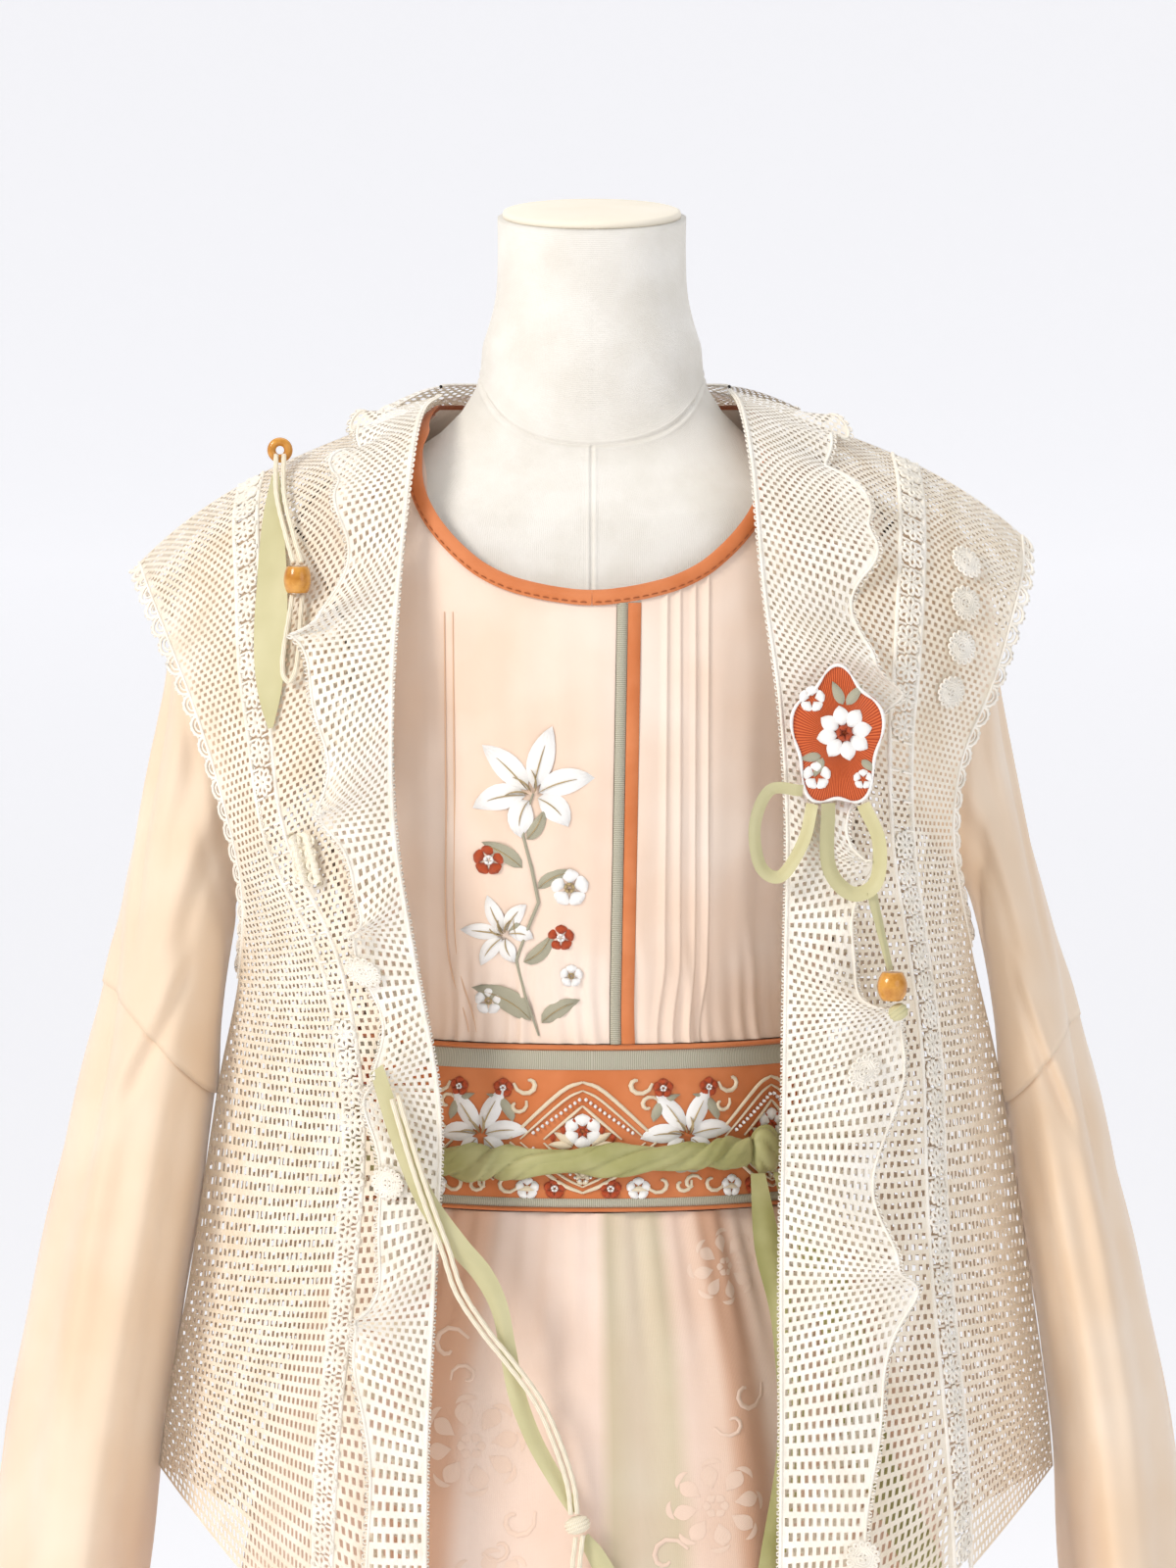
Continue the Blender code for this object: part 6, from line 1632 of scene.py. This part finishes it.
def collar_point(reach, shares):
    """The ruffle's stretch round the back of the neck, between the two shoulder seams."""
    turn = (shares - 0.5) * math.pi
    half = np.where(turn < 0, abs(VEST_FRONT_R[0, 0]), abs(VEST_FRONT_L[0, 0]))
    wave = 0.5 + 0.5 * np.sin(turn * 9)
    out = reach * (0.040 + 0.004 * wave)
    x = (half + out * np.abs(np.sin(turn)) * 0.9) * np.sin(turn)
    y = VEST_FRONT_R[0, 1] + 3 * SEAM + (0.088 + out * 0.75) * np.cos(turn)
    z = VEST_FRONT_R[0, 2] + 0.0079 - 0.004 * np.cos(turn) ** 2 - reach ** 1.4 * 0.018 + reach * 0.006 * wave
    return np.stack([x, y, z], axis=-1)


collar, collar_grid = net("vest_collar", collar_point, [0.040], 0.30, crochet)
fine = np.linspace(0, 1, 260)
edging = threads("collar_edging", [
    picot_edge(
        collar_point(0 * fine + 1, fine),
        unit(collar_point(0 * fine + 1, fine) - collar_point(0 * fine + 0.9, fine))
    ),
    thread_along(collar_point(0 * fine, fine), 0.0011, 6)[None],
])
declared(edging, "cream_crochet")
sewn(collar, collar_grid, "cream_crochet", ["vest_collar"])

# %% [markdown]
# ## Strap and brooch
# A strap of green ribbon, cotton cords and two turned beads hangs from the wearer's right shoulder, and an
# embroidered brooch with ribbon loops sits at the left. A cord is made as three strands twisted together: its
# outline has three lobes that turn as it goes along.

# %% Strap
LEAF = np.array([
    (-0.1860, 1.364, 0.0040), (-0.1868, 1.342, 0.0120), (-0.1868, 1.316, 0.0165), (-0.1870, 1.290, 0.0195),
    (-0.1872, 1.264, 0.0185), (-0.1866, 1.242, 0.0140), (-0.1862, 1.222, 0.0030),
])
BARREL, MACRAME, CORD, CORD_STEP = (-0.1690, 1.3050), (-0.1640, 1.1470), 0.0030, 0.0042
TAPE = np.array([
    (-0.1260, -0.1531, 1.0260, 0.0090), (-0.1135, -0.1570, 0.9880, 0.0110),
    (-0.0980, -0.1580, 0.9510, 0.0120),
    (-0.0795, -0.1575, 0.9240, 0.0125), (-0.0637, -0.1560, 0.9050, 0.0120),
    (-0.0540, -0.1545, 0.8850, 0.0110),
    (-0.0492, -0.1530, 0.8600, 0.0110), (-0.0440, -0.1520, 0.8340, 0.0110),
    (-0.0335, -0.1515, 0.8060, 0.0100),
    (-0.0185, -0.1510, 0.7790, 0.0090), (-0.0100, -0.1535, 0.7650, 0.0070),
])
TAPE_END = np.array([
    (-0.0050, -0.1540, 0.7500, 0.0070), (0.0030, -0.1545, 0.7380, 0.0110), (0.0130, -0.1555, 0.7180, 0.0120),
    (0.0200, -0.1570, 0.6900, 0.0120), (0.0240, -0.1590, 0.6600, 0.0110),
])
CORD_ROUTE = (
    (-0.1170, -0.1603, 1.0090), (-0.1070, -0.1618, 0.9750), (-0.0970, -0.1628, 0.9450),
    (-0.0877, -0.1623, 0.9200),
    (-0.0795, -0.1613, 0.8950), (-0.0640, -0.1598, 0.8710), (-0.0497, -0.1588, 0.8530),
    (-0.0333, -0.1573, 0.8300),
    (-0.0222, -0.1563, 0.8050), (-0.0145, -0.1553, 0.7810), (-0.0124, -0.1572, 0.7635),
)
CORD_END = (
    (-0.0095, -0.1570, 0.7505), (-0.0115, -0.1595, 0.7300), (-0.0100, -0.1605, 0.7050),
    (-0.0090, -0.1620, 0.6700),
)
STRAP_KNOT = np.array([-0.0085, -0.1560, 0.7575])


def on_vest(table, x, height, out):
    """A place a little out from a front, found step by step from where it is seen from the front."""
    across, share = np.array(0.5), np.array((table[0, 2] - height) / (table[0, 2] - table[-1, 2]))
    for _ in range(60):
        place = vest_point(table, across, share)
        across = np.clip(across + (x - place[0]) / (table[4, 3] - table[4, 0]) * 0.7, 0.01, 0.98)
        share = np.clip(share + (place[2] - height) * 0.7, 0.01, 0.98)
    along = unit(vest_point(table, across + 0.02, share) - place)
    face = unit(np.cross(along, unit(vest_point(table, across, share + 0.01) - place)))
    face *= -np.sign(face[1])
    return place + face * (LACE_WALL + out), along


def rope(name, points, diameter, count=90, lay_length=0.009):
    """A three-strand cord: its radius has three lobes that turn once in each lay."""
    path = even(np.array(points), np.linspace(0, 1, count))
    grid = tube(path, 1.0, 18, (0, 1, 0.1))
    turn = np.linspace(0, 2 * math.pi, 19)[None]
    twist = steps_along(path)[:, None] * 2 * math.pi / lay_length / 3
    radius = diameter / 2 * (0.84 + 0.20 * np.abs(np.cos(1.5 * (turn - twist))) ** 0.8)
    grid = path[:, None] + (grid - path[:, None]) * radius[..., None]
    grid = np.concatenate([path[:1, None] + 0 * grid[:1], grid, path[-1:, None] + 0 * grid[-1:]])
    made = cloth(name, grid, cord_cotton)
    return made, path


def lump(name, middle, half, along, look, pleats, turns, rows=40, columns=36):
    """A tied knot: a rounded body whose pleats wind round it, like turns of cord pulled tight."""
    along = unit(np.array(along, float))
    side = unit(np.cross(along, (0, 1, 0)))
    s, a = np.linspace(-1, 1, rows)[:, None], np.linspace(0, 2 * math.pi, columns)[None]
    body = np.clip(1 - np.abs(s) ** 2.6, 0, 1) ** 0.5
    ridge = 0.88 + 0.16 * np.abs(np.sin(pleats * math.pi * s / 2 + turns * a)) ** 0.7
    size = (body * ridge)[..., None]
    grid = np.array(middle) + along * (s * half[2])[..., None]
    grid = grid + size * (
        half[0] * np.cos(a)[..., None] * side + half[1] * np.sin(a)[..., None] * np.array([0, 1.0, 0])
    )
    return cloth(name, grid, look)


leaf = even(LEAF, np.linspace(0, 1, 9))
places, across = np.array(
    [on_vest(VEST_FRONT_R, x, height, 0.0026) for x, height, _ in leaf]
).transpose(1, 0, 2)
leaf_piece, grid = ribbon("strap_leaf", places, leaf[:, 2] * 1.2, across, strap_satin, 0.0004, 1.2)
sewn(leaf_piece, grid, "pale_green_satin", ["strap_leaf"])
ring_place = on_vest(VEST_FRONT_R, -0.1830, 1.3680, 0.0040)[0] + (0, 0, 0.0080)
face_front = [[1, 0, 0], [0, 0, -1], [0, 1, 0]]
a = np.linspace(0, 2 * math.pi, 25)
ring_profile = np.stack([0.0050 + 0.0026 * np.cos(a), 0.0027 * np.sin(a)], axis=-1)
ring = turned("strap_ring_bead", ring_profile, ring_place, wood, 48, face_front)
declared(ring, "varnished_wood", "strap_ring_bead")
barrel_place = on_vest(VEST_FRONT_R, *BARREL, 0.0095)[0]
s = np.linspace(-1, 1, 21)
barrel_profile = np.stack([0.0080 * np.clip(1 - 0.32 * s ** 2, 0, 1) ** 0.7, 0.0078 * s], axis=-1)
barrel_profile = np.concatenate([[(0.0016, -0.0070)], barrel_profile, [(0.0016, 0.0070)]])
barrel = turned("strap_barrel_bead", barrel_profile, barrel_place, wood, 48)
declared(barrel, "varnished_wood", "strap_barrel_bead")


def length_of(path):
    """Length of a line in metres."""
    return float(steps_along(path)[-1])


def declare_cord(made, path):
    """Hides the solid that a cord takes the place of, and prints the length of its route."""
    declared(made, "cream_cord", made.name.removesuffix("_piece"))
    round(length_of(path), 4)
    print(made.name, round(length_of(path) * 1000), "mm")


for name, step in (("a", -0.0022), ("b", 0.0024)):
    knots = [ring_place + (step, -0.0041, -0.0030)]
    knots += [
        on_vest(VEST_FRONT_R, x + step, height, 0.0060)[0] for x,
        height in ((-0.181, 1.352), (-0.175, 1.330))
    ]
    knots.append(barrel_place + (step, 0, 0.0096))
    made, path = rope("strap_cord_top_" + name, knots, CORD)
    declare_cord(made, path)
low = on_vest(VEST_FRONT_R, -0.1745, 1.2480, 0.0060)[0]
ends = [barrel_place + (step, 0, -0.0089) for step in (-0.0030, 0.0030)]
loop = np.array([ends[0], low + (-0.0026, 0, 0.0030), low, low + (0.0026, 0, 0.0030), ends[1]])
made, path = rope("strap_loop", through([0, 0.42, 0.5, 0.58, 1], loop, np.linspace(0, 1, 21)), CORD, 120)
declare_cord(made, path)

# %% Macrame, tape and free ends
macrame = on_vest(VEST_FRONT_R, *MACRAME, 0.0052)[0]
s = np.linspace(-1, 1, 40)
strands = []
for strand in range(3):
    phase = strand * 2 * math.pi / 3
    x = macrame[0] + 0.25 * 0.0150 * s + 0.0046 * np.sin(2.5 * math.pi * s + phase)
    y = macrame[1] + 0.0022 * np.cos(5 * math.pi * s + 2 * phase)
    strands.append(tube(np.stack([x, y, macrame[2] - 0.0145 * s], axis=-1), 0.0021, 10))
knots = []
for row in range(4):
    for column in (-1, 1):
        a = np.linspace(0, 2 * math.pi, 40)
        centre = macrame + (0.0042 * column + 0.0009 * row - 0.002, -0.0010, 0.0110 - 0.0072 * row)
        knots.append(
            tube(
                centre + 0.0026 * np.stack([np.cos(a), -0.3 * np.cos(2 * a), np.sin(a)], axis=-1), 0.0011,
                10
            )
        )
macrame_piece = many("strap_macrame", np.array(strands + knots), macrame_cotton)
declared(macrame_piece, "cream_cord", "strap_macrame")

for name, table, slots in (("strap_tape", TAPE, 0.0006), ("strap_tape_end", TAPE_END, 0.0005)):
    tape, grid = ribbon(name, table[:, :3], table[:, 3], [(0.8, 0.0, 0.6)] * 2, strap_satin, slots, 0.8, 130)
    sewn(tape, grid, "pale_green_satin", [name])
strap_knot = lump("strap_knot", STRAP_KNOT, (0.0074, 0.0052, 0.0055), (0.3, 0, -1), cord_cotton, 5, 1)
declared(strap_knot, "cream_cord", "strap_knot")
for name, step in (("a", 0.0), ("b", CORD_STEP)):
    route = even(np.array(CORD_ROUTE), np.linspace(0, 1, 24)) + (step * 0.9, 0, 0)
    route[:, 2] += step * np.linspace(0.5, 0.1, 24)
    made, path = rope("strap_cord_" + name, route, CORD, 200)
    declare_cord(made, path)
    end = even(np.array(CORD_END), np.linspace(0, 1, 12)) + (step, 0, step * 0.28)
    made, path = rope("strap_end_" + name, end, CORD, 80)
    declare_cord(made, path)

# %% Brooch
BROOCH, BROOCH_HALF = (0.1435, 1.2190), (0.0290, 0.0440)
surface_l = ruffle(VEST_FRONT_L, RUFFLE_L, 6.5, 1)
coarse = surface_l(*np.meshgrid(np.linspace(0, 1, 4), np.linspace(0, 1, 35)))


def front_of(x, height, reach):
    """The foremost depth of the left ruffle near a place seen from the front."""
    near = (np.abs(coarse[..., 0] - x) < reach) & (np.abs(coarse[..., 2] - height) < reach)
    return float(coarse[near][:, 1].min()) - LACE_WALL


brooch_x, brooch_z = BROOCH
patch_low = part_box("brooch_patch")[0]
patch_face = patch_low.y
a, r = np.meshgrid(np.linspace(0, 2 * math.pi, 181), np.concatenate([np.linspace(0, 1, 26), [1.0, 0.97]]))
lobes = (1 + 0.10 * np.cos(5 * (a - math.pi / 2))) / 1.10
crown = -0.0009 * np.sqrt(np.clip(1 - r ** 6, 0, 1)) - 0.0002 * np.cos(60 * a) * smooth(0.3, 0.6, r)
depth = patch_face + 0.0006 + crown
depth[-2] = patch_face + 0.0012
depth[-1] = patch_face + 0.0024
grid = np.stack(
    [
        brooch_x + BROOCH_HALF[0] * lobes * r * np.cos(a), depth,
        brooch_z + BROOCH_HALF[1] * lobes * r * np.sin(a)
    ],
    axis=-1
)
uv = np.stack([a * 0.0115, r * 0.030], axis=-1)
patch = mesh_piece("brooch_patch", grid, quads(*grid.shape[:2])[:, ::-1], uv, rust_thread)
declared(patch, "rust_felt", "brooch_patch")


def on_brooch(x, y):
    """The face of the brooch, which is flat and upright."""
    points = np.stack([brooch_x + x, patch_face - 0.0003 + 0 * x, brooch_z + y], axis=-1)
    return points, np.broadcast_to(np.array([0, -1.0, 0]), points.shape)


white = blossom(0.004, 0.003, 0.0165, 8, 0.72, 0.2, 0.14, 0.0015, 1.05)
white += blossom(-0.0150, 0.0230, 0.0080) + blossom(
    -0.0120, -0.0220, 0.0085
) + blossom(0.0150, -0.0240, 0.0060)
red = blossom(0.004, 0.003, 0.0050, 5, 0.95, 0.5, 0.1, 0.0024)
green = [petal(0.0040, 0.0180, t, 0.017, 0.0062) for t in (0.9, 2.0)]
green += [petal(-0.0080, -0.0100, t, 0.014, 0.0056) for t in (3.3, 4.3)]
green += [petal(0.0130, -0.0120, 5.6, 0.012, 0.0050)]
a = np.linspace(0, 2 * math.pi, 61)
lobes = (1 + 0.10 * np.cos(5 * (a - math.pi / 2))) / 1.10
rim = np.stack(
    [(BROOCH_HALF[0] - 0.0010) * lobes * np.cos(a), (BROOCH_HALF[1] - 0.0010) * lobes * np.sin(a)], axis=-1
)
rims = [stem(rim[k:k + 7], 0.0021, 0.0013, 9) for k in range(0, 55, 6)]
flower = embroider("brooch_flower", white, on_brooch, white_thread, "white_thread")
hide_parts("brooch_flower")
embroider("brooch_rim", rims, on_brooch, white_thread, "white_thread")
embroider("brooch_red_embroidery", red, on_brooch, red_thread, "rust_felt")
embroider("brooch_leaf_embroidery", green, on_brooch, sage_thread, "grey_green_stitch")


def side_ribbon(name, shape, widths, depth, fold):
    """A ribbon of the brooch: its path is seen from the front, and it bows forwards and shows its face."""
    share = np.linspace(0, 1, 40)
    shape = even(np.array(shape), share)
    depths = depth[0] + (depth[1] - depth[0]) * np.sin(math.pi * share) ** 0.5
    path = np.stack([brooch_x + shape[:, 0], depths, brooch_z + shape[:, 1]], axis=-1)
    across = unit(np.cross(np.gradient(path, axis=0), (0, 1.0, 0))) * 0.8 + np.array([0, 0.6, 0])
    made, grid = ribbon(name, path, np.linspace(*widths, 40), across, strap_satin, fold, 0.6, 110)
    sewn(made, grid, "pale_green_satin", [name])
    return path


front = front_of(*BROOCH, 0.055) - SEAM
beside = min(front, front_of(brooch_x - 0.030, brooch_z - 0.055, 0.032))
below = min(front, front_of(brooch_x + 0.008, brooch_z - 0.070, 0.032))
hang = below - 0.0048
side_ribbon("brooch_loop_side", [
    (-0.0202, -0.0307), (-0.0390, -0.0300), (-0.0480, -0.0500), (-0.0450, -0.0740), (-0.0330, -0.0800),
    (-0.0200, -0.0600), (-0.0147, -0.0384),
], (0.0090, 0.0090), (front - 0.0034, beside - 0.0036), 0.0004)
side_ribbon("brooch_loop_under", [
    (-0.0054, -0.0379), (-0.0050, -0.0740), (0.0080, -0.0900), (0.0220, -0.0840), (0.0240, -0.0600),
    (0.0149, -0.0384),
], (0.0105, 0.0105), (front - 0.0046, below - 0.0048), 0.0005)
side_ribbon(
    "brooch_tail", [(0.0200, -0.0893), (0.0250, -0.1100), (0.0310, -0.1355)], (0.0076, 0.0050),
    (hang, hang), 0.0005
)
s = np.linspace(-1, 1, 17)
bead_profile = np.stack([0.0088 * np.clip(1 - 0.45 * s ** 2, 0, 1) ** 0.7, 0.0083 * s], axis=-1)
bead_profile = np.concatenate([[(0.0016, -0.0076)], bead_profile, [(0.0016, 0.0076)]])
bead = turned("brooch_bead", bead_profile, (brooch_x + 0.0320, hang - 0.0030, brooch_z - 0.1445), wood, 40)
declared(bead, "varnished_wood", "brooch_bead")
tie_place = (brooch_x + 0.0355, hang - 0.0030, brooch_z - 0.1596)
tie = lump("brooch_knot", tie_place, (0.0058, 0.0040, 0.0050), (0.5, 0, -1), strap_satin, 4, 1)
declared(tie, "pale_green_satin", "brooch_knot")
print("brooch, loops, tail, bead and knot")
total = sum(len(obj.data.polygons) * 2 for obj in bpy.data.objects if obj.name.endswith("_piece"))
print("about", total, "triangles added")
